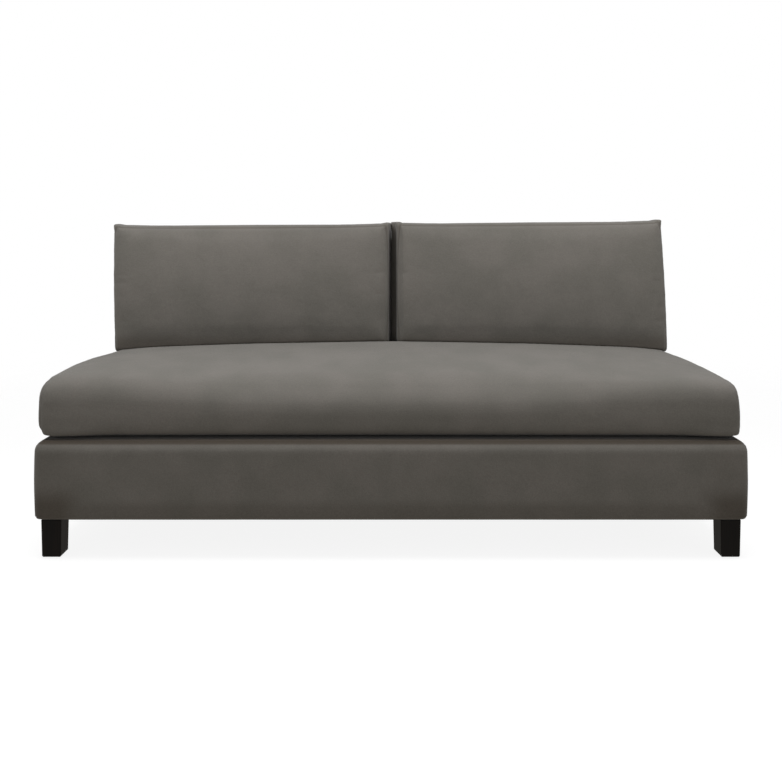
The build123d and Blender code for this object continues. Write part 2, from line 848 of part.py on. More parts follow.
def main():
    make_seat_rails()
    make_corner_blocks()
    make_back_frame()
    make_seat_springs()
    make_spring_clips()
    make_tie_wires()
    make_deck()
    make_base_upholstery()
    make_dust_cover()
    make_back_upholstery()
    make_back_webbing()
    make_legs()
    make_seat_cushion()
    make_back_cushions()
    os.makedirs("parts", exist_ok=True)
    for node, piece in PARTS.items():
        export_step(piece, f"parts/{node}.step")
    print(f"{len(PARTS)} pieces, {overall_width:.0f} x {overall_depth:.1f} x {back_top:.1f} mm")


main()
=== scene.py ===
"""Armless two-place sofa: cloth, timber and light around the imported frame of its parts."""

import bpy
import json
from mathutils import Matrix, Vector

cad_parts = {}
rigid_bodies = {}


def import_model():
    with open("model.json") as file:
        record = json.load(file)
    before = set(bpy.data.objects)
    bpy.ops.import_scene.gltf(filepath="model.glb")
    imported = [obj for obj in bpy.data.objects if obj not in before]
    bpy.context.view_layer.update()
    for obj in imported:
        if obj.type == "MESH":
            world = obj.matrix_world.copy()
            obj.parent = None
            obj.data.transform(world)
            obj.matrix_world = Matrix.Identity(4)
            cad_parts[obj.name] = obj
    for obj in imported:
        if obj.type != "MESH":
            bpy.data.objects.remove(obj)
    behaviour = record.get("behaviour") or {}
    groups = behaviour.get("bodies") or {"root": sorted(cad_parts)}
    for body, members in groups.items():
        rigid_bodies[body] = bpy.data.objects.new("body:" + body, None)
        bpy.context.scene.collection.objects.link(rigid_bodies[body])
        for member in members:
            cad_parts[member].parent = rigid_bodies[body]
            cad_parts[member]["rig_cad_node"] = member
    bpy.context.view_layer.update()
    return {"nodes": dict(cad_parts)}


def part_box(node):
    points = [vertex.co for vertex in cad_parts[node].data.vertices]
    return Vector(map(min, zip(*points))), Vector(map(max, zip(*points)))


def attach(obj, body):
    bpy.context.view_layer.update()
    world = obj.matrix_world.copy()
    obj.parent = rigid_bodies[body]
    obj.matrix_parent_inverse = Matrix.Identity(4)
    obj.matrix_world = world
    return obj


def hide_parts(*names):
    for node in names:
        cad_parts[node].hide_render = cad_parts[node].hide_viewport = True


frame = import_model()

import json
import logging
import math
from dataclasses import dataclass, field, fields
from enum import Enum
from typing import Callable, Iterable, Sequence

import bpy
import numpy as np
from mathutils import Vector, noise
from mathutils.bvhtree import BVHTree

LOG = logging.getLogger("sofa")
MM = 0.001
TURN = 2 * math.pi
CIRCLE = 2.0  # the power of a circular rounding
TINY = 1e-6
WHITE = (1, 1, 1, 1)
Colour = tuple[float, float, float]
Span = tuple[float, float]


# ---- the bench: small helpers for shaping pieces with operators ----


class Axis(Enum):
    """An axis of the sofa: across it, fore and aft, or upright."""

    ACROSS = 0
    DEPTH = 1
    UPRIGHT = 2

    @property
    def direction(self) -> Vector:
        """The unit vector along this axis."""
        return Vector(tuple(float(index == self.value) for index in range(3)))


class Side(Enum):
    """The sofa's left or right, as someone sees it who looks at its front."""

    LEFT = -1
    RIGHT = 1

    @property
    def word(self) -> str:
        """The side's name, as the nodes have it."""
        return self.name.lower()


def activate(piece: bpy.types.Object) -> None:
    """Make a piece the only selected one and the active one.

    Args:
        piece: the piece to work on next.
    """
    if bpy.context.object and bpy.context.object.mode != "OBJECT":
        bpy.ops.object.mode_set(mode="OBJECT")
    bpy.ops.object.select_all(action="DESELECT")
    piece.select_set(True)
    bpy.context.view_layer.objects.active = piece


def points_of(piece: bpy.types.Object) -> np.ndarray:
    """The places of a piece's vertices.

    Args:
        piece: a mesh piece at the origin.

    Returns:
        One row of x, y and z for each vertex, in metres.
    """
    places = np.zeros(len(piece.data.vertices) * 3)
    piece.data.vertices.foreach_get("co", places)
    return places.reshape(-1, 3)


def normals_of(piece: bpy.types.Object) -> np.ndarray:
    """The outward directions at a piece's vertices, one row for each."""
    return np.array([vertex.normal for vertex in piece.data.vertices])


def place_points(piece: bpy.types.Object, places: np.ndarray) -> None:
    """Move a piece's vertices.

    Args:
        piece: the mesh piece.
        places: the new places, one row for each vertex.
    """
    piece.data.vertices.foreach_set("co", places.ravel())
    piece.data.update()


def smooth_step(values: np.ndarray, start: float, end: float) -> np.ndarray:
    """A soft ramp.

    Args:
        values: what to look up.
        start: where the ramp is 0.
        end: where the ramp is 1.

    Returns:
        The ramp's height at each value.
    """
    share = np.clip((values - start) / (end - start), 0.0, 1.0)
    return share * share * (3 - 2 * share)


def reshape_corner(across: np.ndarray, upright: np.ndarray, old: float | np.ndarray,
                   new: float | np.ndarray) -> tuple[np.ndarray, np.ndarray]:
    """Turn one rounding of a corner into another.

    Args:
        across: how far each point is from the start of the rounding, as a share of its reach.
        upright: the same along the other side of the corner.
        old: the power of the present rounding, where 2 is a circle and more is squarer.
        new: the power of the new one.

    Returns:
        Both shares after the change.
    """
    inside = (across > TINY) & (upright > TINY)
    first, second = np.where(inside, across, 1.0), np.where(inside, upright, 1.0)
    present = (first ** old + second ** old) ** (1 / np.asarray(old, dtype=float))
    wanted = (first ** new + second ** new) ** (1 / np.asarray(new, dtype=float))
    scale = np.where(inside, present / wanted, 1.0)
    return across * scale, upright * scale


def edge_along(where: np.ndarray, values: np.ndarray, step: float, highest: bool) -> np.ndarray:
    """The outermost value near each place along a line.

    Args:
        where: the place of each point along the line.
        values: the point's value.
        step: how finely the line is divided.
        highest: whether the outermost value is the highest one or the lowest one.

    Returns:
        A smooth outermost value for each point.
    """
    sign = 1 if highest else -1
    stations = np.arange(where.min(), where.max() + step, step)
    index = np.clip(np.round((where - stations[0]) / step).astype(int), 0, len(stations) - 1)
    found = np.full(len(stations), -np.inf)
    np.maximum.at(found, index, sign * values)
    known = np.isfinite(found)
    return np.interp(where, stations[known], sign * found[known])


class Bench:
    """One piece on the bench, whose parts are picked by place and worked with edit-mode tools."""

    def __init__(self, piece: bpy.types.Object) -> None:
        """Put a piece on the bench.

        Args:
            piece: the mesh piece to work on.
        """
        self.piece = piece
        activate(piece)

    @classmethod
    def block(cls, name: str, low: Sequence[float], high: Sequence[float]) -> "Bench":
        """Start from a block between two corners.

        Args:
            name: the piece's name.
            low: its lowest corner.
            high: its highest corner.

        Returns:
            The bench with the new block on it.
        """
        bpy.ops.object.select_all(action="DESELECT")
        middle = (Vector(low) + Vector(high)) / 2
        bpy.ops.mesh.primitive_cube_add(size=1, location=middle, scale=Vector(high) - Vector(low))
        return cls._started(name)

    @classmethod
    def panel(cls, name: str, low: Sequence[float], high: Sequence[float]) -> "Bench":
        """Start from a flat level panel between two corners.

        Args:
            name: the piece's name.
            low: its lowest corner.
            high: its highest corner, at the same height.

        Returns:
            The bench with the new panel on it.
        """
        bpy.ops.object.select_all(action="DESELECT")
        bpy.ops.mesh.primitive_plane_add(size=1, location=(0, 0, 0))
        bench = cls._started(name)
        span = Vector(high) - Vector(low)
        middle = (Vector(high) + Vector(low)) / 2
        places = points_of(bench.piece) * np.array([span.x, span.y, 1]) + np.array(middle)
        place_points(bench.piece, places)
        return bench

    @classmethod
    def _started(cls, name: str) -> "Bench":
        """Name the primitive that was just added and settle its place into its mesh.

        Args:
            name: the piece's name.

        Returns:
            The bench with the piece on it.
        """
        piece = bpy.context.object
        piece.name = piece.data.name = name
        bpy.ops.object.transform_apply(location=True, rotation=True, scale=True)
        return cls(piece)

    def _unpicked(self, kind: str) -> bpy.types.Mesh:
        """Leave nothing selected, ready to pick from.

        Args:
            kind: what will be picked, EDGE or FACE.

        Returns:
            The piece's mesh.
        """
        bpy.ops.object.mode_set(mode="EDIT")
        bpy.ops.mesh.select_mode(type=kind)
        bpy.ops.mesh.select_all(action="DESELECT")
        bpy.ops.object.mode_set(mode="OBJECT")
        return self.piece.data

    def pick_edges(self, wanted: Callable[[Vector, Vector], bool]) -> None:
        """Select edges in edit mode.

        Args:
            wanted: says of an edge's two ends whether it is selected.
        """
        mesh = self._unpicked("EDGE")
        for edge in mesh.edges:
            first, second = (mesh.vertices[index].co for index in edge.vertices)
            edge.select = wanted(first, second)
        bpy.ops.object.mode_set(mode="EDIT")

    def pick_faces(self, wanted: Callable[[Vector, Vector], bool]) -> None:
        """Select faces in edit mode.

        Args:
            wanted: says of a face's centre and normal whether it is selected.
        """
        for face in self._unpicked("FACE").polygons:
            face.select = wanted(face.center, face.normal)
        bpy.ops.object.mode_set(mode="EDIT")

    def bevel(self, width: float, segments: int) -> None:
        """Round the selected edges.

        Args:
            width: how far the rounding reaches along each face.
            segments: how many faces round it off.
        """
        bpy.ops.mesh.bevel(offset=width, offset_type="WIDTH" if segments == 1 else "OFFSET",
                           segments=segments, profile=0.5, affect="EDGES")

    def delete_picked(self) -> None:
        """Delete the selected faces."""
        bpy.ops.mesh.delete(type="FACE")

    def rows(self, axis: Axis, places: Iterable[float]) -> None:
        """Cut level rows of edges through the whole piece.

        Args:
            axis: what the cuts are square to.
            places: where each cut crosses that axis.
        """
        bpy.ops.object.mode_set(mode="EDIT")
        for place in places:
            bpy.ops.mesh.select_all(action="SELECT")
            bpy.ops.mesh.bisect(plane_co=axis.direction * place, plane_no=axis.direction)

    def grid(self, cell: float, *spans: tuple[Axis, float, float]) -> None:
        """Cut evenly spaced rows of edges through the whole piece.

        Args:
            cell: about how far apart the rows are.
            spans: for each set of rows, what it is square to and the two places it lies between.
        """
        for axis, low, high in spans:
            self.rows(axis, spaced(low, high, cell))

    def done(self) -> bpy.types.Object:
        """Leave edit mode.

        Returns:
            The piece.
        """
        bpy.ops.object.mode_set(mode="OBJECT")
        return self.piece

    def modify(self, kind: str, **settings: object) -> None:
        """Add a modifier and apply it.

        Args:
            kind: Blender's name for the modifier.
            settings: the modifier's settings.
        """
        self.done()
        modifier = self.piece.modifiers.new(kind.title(), kind)
        for name, value in settings.items():
            setattr(modifier, name, value)
        bpy.ops.object.modifier_apply(modifier=modifier.name)


def spaced(low: float, high: float, step: float) -> list[float]:
    """Evenly spaced places strictly between two ends.

    Args:
        low: the lower end.
        high: the upper end.
        step: about how far apart they are.

    Returns:
        The places, without the ends.
    """
    count = max(1, round((high - low) / step))
    return [low + (high - low) * index / count for index in range(1, count)]


def rumple(places: np.ndarray, size: float, seed: float) -> np.ndarray:
    """Soft noise over a piece.

    Args:
        places: where to look the noise up.
        size: about how wide its swells are, in metres.
        seed: which noise it is.

    Returns:
        Heights from about -1 to 1.
    """
    offset = Vector((seed, 2 * seed, -seed))
    return np.array([noise.noise(Vector(place) / size + offset) for place in places])


def to_rim(places: np.ndarray, low: Sequence[float], high: Sequence[float]) -> np.ndarray:
    """How far places on a flat sheet are from its nearest edge.

    Args:
        places: one row for each place, of which the first two columns are read.
        low: the sheet's lowest corner in these two.
        high: its highest corner in them.

    Returns:
        The distances.
    """
    flat = places[:, :2]
    return np.minimum(flat - np.array(low), np.array(high) - flat).min(axis=1)


# ---- finishes ----


class Layout:
    """The nodes of a material or of the world."""

    def __init__(self, tree: bpy.types.NodeTree) -> None:
        """Work on a tree of nodes.

        Args:
            tree: the tree that the nodes are added to.
        """
        self.tree = tree

    def add(self, kind: str, **settings: object) -> bpy.types.Node:
        """Add a node.

        Args:
            kind: its type, without the leading ShaderNode.
            settings: its own settings.

        Returns:
            The node.
        """
        node = self.tree.nodes.new("ShaderNode" + kind)
        for name, value in settings.items():
            setattr(node, name, value)
        return node

    def join(self, output: bpy.types.NodeSocket, entry: bpy.types.NodeSocket) -> None:
        """Link an output to an input."""
        self.tree.links.new(output, entry)


class Recipe(Layout):
    """A new material and the nodes laid out on it."""

    def __init__(self, name: str) -> None:
        """Start a material with one principled shader.

        Args:
            name: the material's name.
        """
        self.material = bpy.data.materials.new(name)
        self.material.use_nodes = True
        super().__init__(self.material.node_tree)
        self.shader = self.tree.nodes["Principled BSDF"]
        self.place = self.add("TexCoord").outputs["Object"]

    def shine(self, **levels: object) -> None:
        """Set the shader's own constants.

        Args:
            levels: socket names with underscores for spaces, and their values.
        """
        for name, value in levels.items():
            self.shader.inputs[name.replace("_", " ")].default_value = value

    def stretched(self, scale: Sequence[float]) -> bpy.types.NodeSocket:
        """The piece's coordinates, scaled apart along each axis.

        Args:
            scale: the scale along each axis.

        Returns:
            The scaled coordinates.
        """
        mapping = self.add("Mapping", vector_type="POINT")
        mapping.inputs["Scale"].default_value = scale
        self.join(self.place, mapping.inputs["Vector"])
        return mapping.outputs["Vector"]

    def speckle(self, size: float, detail: float = 2.0, place: object = None,
                roughness: float = 0.5) -> bpy.types.NodeSocket:
        """Noise about a middle of a half.

        Args:
            size: the width of its grains, in metres.
            detail: how many finer octaves it has.
            place: the coordinates that it reads, or None for the piece's own.
            roughness: how strong the finer octaves are.

        Returns:
            The noise's factor.
        """
        node = self.add("TexNoise")
        node.inputs["Scale"].default_value = 1 / size
        node.inputs["Detail"].default_value = detail
        node.inputs["Roughness"].default_value = roughness
        self.join(place or self.place, node.inputs["Vector"])
        return node.outputs["Fac"]

    def sums(self, operation: str, *terms: object) -> bpy.types.NodeSocket:
        """One step of arithmetic.

        Args:
            operation: Blender's name for it.
            terms: numbers or outputs.

        Returns:
            The result.
        """
        node = self.add("Math", operation=operation)
        for entry, term in zip(node.inputs, terms):
            if isinstance(term, (int, float)):
                entry.default_value = term
            else:
                self.join(term, entry)
        return node.outputs["Value"]

    def blend(self, share: object, first: object, second: object,
              how: str = "MIX") -> bpy.types.NodeSocket:
        """Mix two colours.

        Args:
            share: how much of the second there is, a number or an output.
            first: a colour or an output.
            second: a colour or an output.
            how: Blender's name for the way they mix.

        Returns:
            The mixed colour.
        """
        node = self.add("Mix", data_type="RGBA", blend_type=how)
        pairs = ((node.inputs[0], share), (node.inputs[6], first), (node.inputs[7], second))
        for entry, term in pairs:
            if isinstance(term, (int, float)):
                entry.default_value = term
            elif isinstance(term, tuple):
                entry.default_value = (*term, 1.0)
            else:
                self.join(term, entry)
        return node.outputs[2]

    def ramp(self, factor: bpy.types.NodeSocket, low: float, high: float) -> bpy.types.NodeSocket:
        """Stretch part of a factor's range to the whole of 0 to 1.

        Args:
            factor: the factor.
            low: the value that becomes 0.
            high: the value that becomes 1.

        Returns:
            The stretched factor.
        """
        node = self.add("MapRange", interpolation_type="SMOOTHSTEP")
        node.inputs["From Min"].default_value = low
        node.inputs["From Max"].default_value = high
        self.join(factor, node.inputs["Value"])
        return node.outputs["Result"]

    def relief(self, height: bpy.types.NodeSocket, depth: float, strength: float) -> None:
        """Raise the surface by a height, on top of any relief that it has already.

        Args:
            height: from 0 to 1.
            depth: what a height of 1 stands for, in metres.
            strength: how much of it shows.
        """
        node = self.add("Bump")
        node.inputs["Distance"].default_value = depth
        node.inputs["Strength"].default_value = strength
        self.join(height, node.inputs["Height"])
        entry = self.shader.inputs["Normal"]
        if entry.is_linked:
            self.join(entry.links[0].from_socket, node.inputs["Normal"])
        self.join(node.outputs["Normal"], entry)

    def colour(self, output: bpy.types.NodeSocket) -> None:
        """Give the shader its base colour."""
        self.join(output, self.shader.inputs["Base Color"])

    def roughen(self, factor: bpy.types.NodeSocket, span: float, start: float) -> None:
        """Let the shader's roughness follow a factor.

        Args:
            factor: from 0 to 1.
            span: how much the roughness changes over it.
            start: the roughness where the factor is 0.
        """
        rough = self.sums("MULTIPLY_ADD", factor, span, start)
        self.join(rough, self.shader.inputs["Roughness"])


def scaled(colour: Colour, share: float) -> Colour:
    """A colour with all its parts in the same ratio."""
    return tuple(share * part for part in colour)


@dataclass(frozen=True)
class Cloth:
    """A woven cloth whose threads show as a fine lattice on faces that look any way.

    clouds is how wide its soft changes of colour are, and nap the size and depth of its pile.
    """

    name: str
    ground: Colour
    fleck: Colour
    clouds: float = 0.11
    nap: Span = (12 * MM, 1.2 * MM)
    thread: float = 1.5 * MM
    thread_relief: float = 0.5
    mottle: float = 0.25
    roughness: float = 0.9
    sheen: float = 0.2
    # The seam attribute darkens the cloth with a warm tint: partly the seams' own dark joint,
    # partly painted shade and shadow.
    seamed: bool = False
    seam_tint: Colour = (0.36, 0.305, 0.25)

    def make(self) -> bpy.types.Material:
        """Lay out the cloth's nodes.

        Returns:
            The material.
        """
        recipe = Recipe(self.name)
        lattice = self._lattice(recipe)
        cloudy = recipe.ramp(recipe.speckle(self.clouds, 3.0), 0.3, 0.7)
        yarns = recipe.speckle(self.thread * 2.2, 3.0, roughness=0.65)
        base = recipe.blend(cloudy, self.ground, self.fleck)
        shade = recipe.sums("MULTIPLY_ADD", yarns, 2 * self.mottle, 1 - self.mottle)
        weave = recipe.sums("MULTIPLY_ADD", lattice, self.mottle / 2, 1 - self.mottle / 4)
        shade = recipe.sums("MULTIPLY", shade, weave)
        # Painted shade: the seam attribute darkens the cloth, partly the seams' dark joint and
        # partly painted shade and shadow.
        if self.seamed:
            seam = recipe.add("Attribute", attribute_name="seam").outputs["Fac"]
            seam_and_shade_colour = tuple(part * share for part, share in zip(self.ground, self.seam_tint))
            base = recipe.blend(seam, base, seam_and_shade_colour)
        tone = recipe.add("CombineColor")
        for entry in tone.inputs:
            recipe.join(shade, entry)
        recipe.colour(recipe.blend(1.0, base, tone.outputs["Color"], "MULTIPLY"))
        recipe.relief(recipe.speckle(self.nap[0], 2.0), self.nap[1], 0.25)
        recipe.relief(lattice, self.thread * 0.35, self.thread_relief)
        recipe.shine(Roughness=self.roughness, Sheen_Weight=self.sheen, Sheen_Roughness=0.5,
                     Specular_IOR_Level=0.25)
        return recipe.material

    def _lattice(self, recipe: Recipe) -> bpy.types.NodeSocket:
        """Threads over and under each other.

        Args:
            recipe: the material's nodes.

        Returns:
            Their height, from 0 to 1.
        """
        wander = recipe.add("TexNoise")
        wander.inputs["Scale"].default_value = 1 / (self.thread * 6)
        wander.inputs["Detail"].default_value = 3.0
        recipe.join(recipe.place, wander.inputs["Vector"])
        shift = recipe.add("VectorMath", operation="MULTIPLY_ADD")
        shift.inputs[1].default_value = (self.thread * 3.0,) * 3
        recipe.join(wander.outputs["Color"], shift.inputs[0])
        recipe.join(recipe.place, shift.inputs[2])
        split = recipe.add("SeparateXYZ")
        recipe.join(shift.outputs["Vector"], split.inputs["Vector"])
        pitch = TURN / self.thread
        waves = [recipe.sums("SINE", recipe.sums("MULTIPLY", split.outputs[index], pitch))
                 for index in range(3)]
        total = recipe.sums("ADD", recipe.sums("ADD", waves[0], waves[1]), waves[2])
        return recipe.sums("MULTIPLY_ADD", total, 1 / 6, 0.5)


@dataclass(frozen=True)
class Timber:
    """Planed wood with its grain along one axis, raw or stained.

    streaks and pores are how many of each there are in a metre, across the grain and along it.
    """

    name: str
    light: Colour
    dark: Colour
    grain: Axis = Axis.ACROSS
    roughness: float = 0.6
    gloss: float = 0.4
    streaks: Span = (55.0, 3.0)
    pores: Span = (495.0, 18.0)

    def make(self) -> bpy.types.Material:
        """Lay out the wood's nodes.

        Returns:
            The material.
        """
        recipe = Recipe(self.name)
        streaks = recipe.speckle(1.0, 5.0, recipe.stretched(self._along(self.streaks)), 0.62)
        pores = recipe.speckle(1.0, 2.0, recipe.stretched(self._along(self.pores)))
        tone = recipe.ramp(streaks, 0.32, 0.68)
        base = recipe.blend(tone, self.dark, self.light)
        pore_dark = recipe.ramp(pores, 0.36, 0.5)
        recipe.colour(recipe.blend(pore_dark, scaled(self.dark, 0.6), base))
        recipe.relief(pores, 0.25 * MM, 0.35)
        recipe.roughen(streaks, 0.25, self.roughness - 0.12)
        recipe.shine(Specular_IOR_Level=self.gloss)
        return recipe.material

    def _along(self, counts: Span) -> list[float]:
        """Counts across and along the grain as a scale for each axis."""
        return [counts[index == self.grain.value] for index in range(3)]


@dataclass(frozen=True)
class Steel:
    """Drawn or pressed steel with faint draw marks and dull patches."""

    name: str
    colour: Colour
    roughness: float = 0.35

    def make(self) -> bpy.types.Material:
        """Lay out the metal's nodes.

        Returns:
            The material.
        """
        recipe = Recipe(self.name)
        patches = recipe.speckle(0.02, 4.0)
        dull = scaled(self.colour, 0.62)
        recipe.colour(recipe.blend(recipe.ramp(patches, 0.35, 0.7), dull, self.colour))
        recipe.roughen(patches, 0.3, self.roughness - 0.15)
        recipe.relief(recipe.speckle(0.0012, 2.0), 0.1 * MM, 0.3)
        recipe.shine(Metallic=1.0)
        return recipe.material


@dataclass(frozen=True)
class Stuffing:
    """Foam, felt, fibre or nylon: a soft or dull body with pits of one size."""

    name: str
    colour: Colour
    shade: Colour
    pit: float = 1.5 * MM
    depth: float = 0.5 * MM
    roughness: float = 0.95

    def make(self) -> bpy.types.Material:
        """Lay out the stuffing's nodes.

        Returns:
            The material.
        """
        recipe = Recipe(self.name)
        pits = recipe.add("TexVoronoi")
        pits.inputs["Scale"].default_value = 1 / self.pit
        recipe.join(recipe.place, pits.inputs["Vector"])
        clouds = recipe.ramp(recipe.speckle(0.08, 3.0), 0.3, 0.7)
        base = recipe.blend(clouds, self.shade, self.colour)
        # Painted shade: the stuffing is darker towards the bottoms of its pits.
        hollow = recipe.ramp(pits.outputs["Distance"], 0.0, 0.5)
        recipe.colour(recipe.blend(hollow, scaled(self.shade, 0.8), base))
        recipe.relief(pits.outputs["Distance"], self.depth, 0.5)
        recipe.shine(Roughness=self.roughness, Specular_IOR_Level=0.3)
        return recipe.material


@dataclass(frozen=True)
class Palette:
    """Every finish on the sofa, by the name of the slot that takes it."""

    cover: Cloth = Cloth("cover_fabric", (0.172, 0.160, 0.144), (0.150, 0.142, 0.126),
                         seamed=True)
    deck: Cloth = Cloth("deck_fabric", (0.110, 0.105, 0.098), (0.095, 0.092, 0.088),
                        thread=1.0 * MM)
    dust: Cloth = Cloth("dust_cloth", (0.012, 0.012, 0.013), (0.020, 0.019, 0.019),
                        thread=2.4 * MM, thread_relief=0.3)
    strap: Cloth = Cloth("webbing", (0.030, 0.028, 0.027), (0.045, 0.042, 0.038), thread=3.0 * MM)
    tape: Cloth = Cloth("zip_tape", (0.060, 0.056, 0.050), (0.070, 0.066, 0.060), thread=0.7 * MM)
    frame_wood: Timber = Timber("frame_wood", (0.560, 0.380, 0.215), (0.400, 0.245, 0.125))
    leg_wood: Timber = Timber("leg_wood", (0.0080, 0.0052, 0.0038), (0.0036, 0.0026, 0.0022),
                              Axis.UPRIGHT, 0.5, 0.2)
    spring: Steel = Steel("spring_steel", (0.330, 0.325, 0.315))
    zip_metal: Steel = Steel("zip_metal", (0.300, 0.275, 0.230), 0.3)
    foam: Stuffing = Stuffing("foam", (0.760, 0.700, 0.560), (0.690, 0.620, 0.470))
    fibre: Stuffing = Stuffing("padding", (0.800, 0.800, 0.780), (0.700, 0.700, 0.690), 4 * MM,
                               1.2 * MM)
    felt: Stuffing = Stuffing("felt", (0.260, 0.250, 0.240), (0.170, 0.165, 0.170), 2.5 * MM)
    nylon: Stuffing = Stuffing("glide_nylon", (0.040, 0.040, 0.042), (0.030, 0.030, 0.031),
                               0.8 * MM, 0.05 * MM, 0.45)

    def finishes(self) -> list[Cloth | Timber | Steel | Stuffing]:
        """All the finishes."""
        return [getattr(self, one.name) for one in fields(self)]


@dataclass
class Dresser:
    """Makes each finish once and puts it on pieces."""

    palette: Palette = field(default_factory=Palette)
    made: dict[str, bpy.types.Material] = field(default_factory=dict)

    def mix(self) -> None:
        """Make every material."""
        self.made = {finish.name: finish.make() for finish in self.palette.finishes()}

    def dress(self, piece: bpy.types.Object, slot: str) -> None:
        """Put a slot's finish on a piece.

        Args:
            piece: a new piece or a CAD node.
            slot: the name of the slot.
        """
        piece.data.materials.clear()
        piece.data.materials.append(self.made[slot])
        "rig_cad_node" not in piece

    def dress_nodes(self, slot_of: dict[str, str]) -> None:
        """Put the finishes on the CAD nodes.

        Args:
            slot_of: the slot of each node.
        """
        for node, slot in slot_of.items():
            self.dress(frame["nodes"][node], slot)


# ---- shared shapes ----


@dataclass(frozen=True)
class BackPlane:
    """The face that the back cushions' fronts lie in, which leans back from the crease."""

    crease_y: float = 147.9 * MM
    crease_z: float = 481.3 * MM
    lean: float = math.radians(6.5)

    def inward(self, places: np.ndarray) -> np.ndarray:
        """Look places up from this face.

        Args:
            places: rows of x, y and z.

        Returns:
            Rows of x, depth behind the face and height along it.
        """
        away, above = places[:, 1] - self.crease_y, places[:, 2] - self.crease_z
        depth = away * math.cos(self.lean) - above * math.sin(self.lean)
        height = away * math.sin(self.lean) + above * math.cos(self.lean)
        return np.column_stack((places[:, 0], depth, height))

    def outward(self, rows: np.ndarray) -> np.ndarray:
        """Turn rows that inward gave back into places.

        Args:
            rows: rows of x, depth and height.

        Returns:
            Rows of x, y and z.
        """
        across, depth, height = rows.T
        y = self.crease_y + depth * math.cos(self.lean) + height * math.sin(self.lean)
        z = self.crease_z - depth * math.sin(self.lean) + height * math.cos(self.lean)
        return np.column_stack((across, y, z))

    @property
    def rise(self) -> Vector:
        """The direction up along this face."""
        return Vector((0, math.sin(self.lean), math.cos(self.lean)))


@dataclass
class Filling:
    """How a cushion's case is filled and sewn."""

    grain: float = 10 * MM
    pressure: float = 7.0
    gather: float = 0.03
    gather_reach: float = 18 * MM
    cap: float = 9 * MM
    frames: int = 20
    seam_depth: float = 2.2 * MM
    seam_width: float = 8 * MM
    # How much darker the cloth is at a seam: partly its dark joint, partly painted shade in its
    # groove.
    seam_mark: float = 0.5
    pucker: float = 0.7 * MM
    fill: float = 0.8


def case_from(node: str, name: str, grain: float) -> bpy.types.Object:
    """The outer skin of a cushion's solid, remeshed in even quads.

    Args:
        node: the CAD node of the cover.
        name: the new piece's name.
        grain: the size of the quads.

    Returns:
        The closed skin.
    """
    source = frame["nodes"][node]
    piece = bpy.data.objects.new(name, source.data.copy())
    piece.data.name = name
    bpy.context.scene.collection.objects.link(piece)
    for key in [key for key in piece.keys() if key.startswith("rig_")]:
        del piece[key]
    activate(piece)
    bpy.ops.object.mode_set(mode="EDIT")
    bpy.ops.mesh.select_mode(type="VERT")
    bpy.ops.mesh.select_all(action="SELECT")
    bpy.ops.mesh.remove_doubles(threshold=0.01 * MM)
    bpy.ops.mesh.customdata_custom_splitnormals_clear()
    bpy.ops.mesh.select_all(action="DESELECT")
    bpy.ops.object.mode_set(mode="OBJECT")
    piece.data.vertices[int(points_of(piece)[:, 0].argmax())].select = True
    bpy.ops.object.mode_set(mode="EDIT")
    bpy.ops.mesh.select_linked()
    bpy.ops.mesh.select_all(action="INVERT")
    bpy.ops.mesh.delete(type="VERT")
    bench = Bench(piece)
    bench.modify("REMESH", mode="VOXEL", voxel_size=grain, use_smooth_shade=True)
    bench.modify("SMOOTH", factor=0.5, iterations=6)
    return piece


def fill_case(piece: bpy.types.Object, filling: Filling,
              seams: Sequence[np.ndarray]) -> np.ndarray:
    """Blow a case up with a cloth simulation, its cloth gathered along the seams.

    Args:
        piece: the closed skin.
        filling: how it is filled.
        seams: for each seam, how far each vertex is from it.

    Returns:
        How far each vertex moves, which levels off at the filling's cap.
    """
    rest = points_of(piece)
    tight = np.exp(-((np.min(np.abs(seams), axis=0) / filling.gather_reach) ** 2))
    activate(piece)
    group = piece.vertex_groups.new(name="gathered")
    for index in np.flatnonzero(tight > 0.02):
        group.add([int(index)], float(tight[index]), "REPLACE")
    modifier = piece.modifiers.new("Filling", "CLOTH")
    cloth = modifier.settings
    cloth.quality = 5
    cloth.mass = 0.3
    cloth.tension_stiffness = cloth.compression_stiffness = 12
    cloth.shear_stiffness = 4
    cloth.bending_stiffness = 0.4
    cloth.vertex_group_shrink = group.name
    cloth.shrink_min = 0.0
    cloth.shrink_max = filling.gather
    cloth.use_pressure = True
    cloth.uniform_pressure_force = filling.pressure
    cloth.effector_weights.gravity = 0
    modifier.point_cache.frame_start = 1
    modifier.point_cache.frame_end = filling.frames
    scene = bpy.context.scene
    for moment in range(1, filling.frames + 1):
        scene.frame_set(moment)
    bpy.ops.object.modifier_apply(modifier=modifier.name)
    scene.frame_set(1)
    piece.vertex_groups.clear()
    moved = points_of(piece) - rest
    place_points(piece, rest)
    return capped(moved, filling.cap)


def capped(moved: np.ndarray, cap: float) -> np.ndarray:
    """Movements that level off at a cap, in their own directions."""
    length = np.linalg.norm(moved, axis=1, keepdims=True)
    return moved * (cap * np.tanh(length / cap) / np.maximum(length, 1e-9))


def stretched_to(values: np.ndarray, wanted: np.ndarray) -> np.ndarray:
    """Stretch values so that their ends fall on the ends of others.

    Args:
        values: the values.
        wanted: the others.

    Returns:
        The stretched values.
    """
    low, high = values.min(), values.max()
    share = (values - low) / (high - low)
    return wanted.min() + share * (wanted.max() - wanted.min())


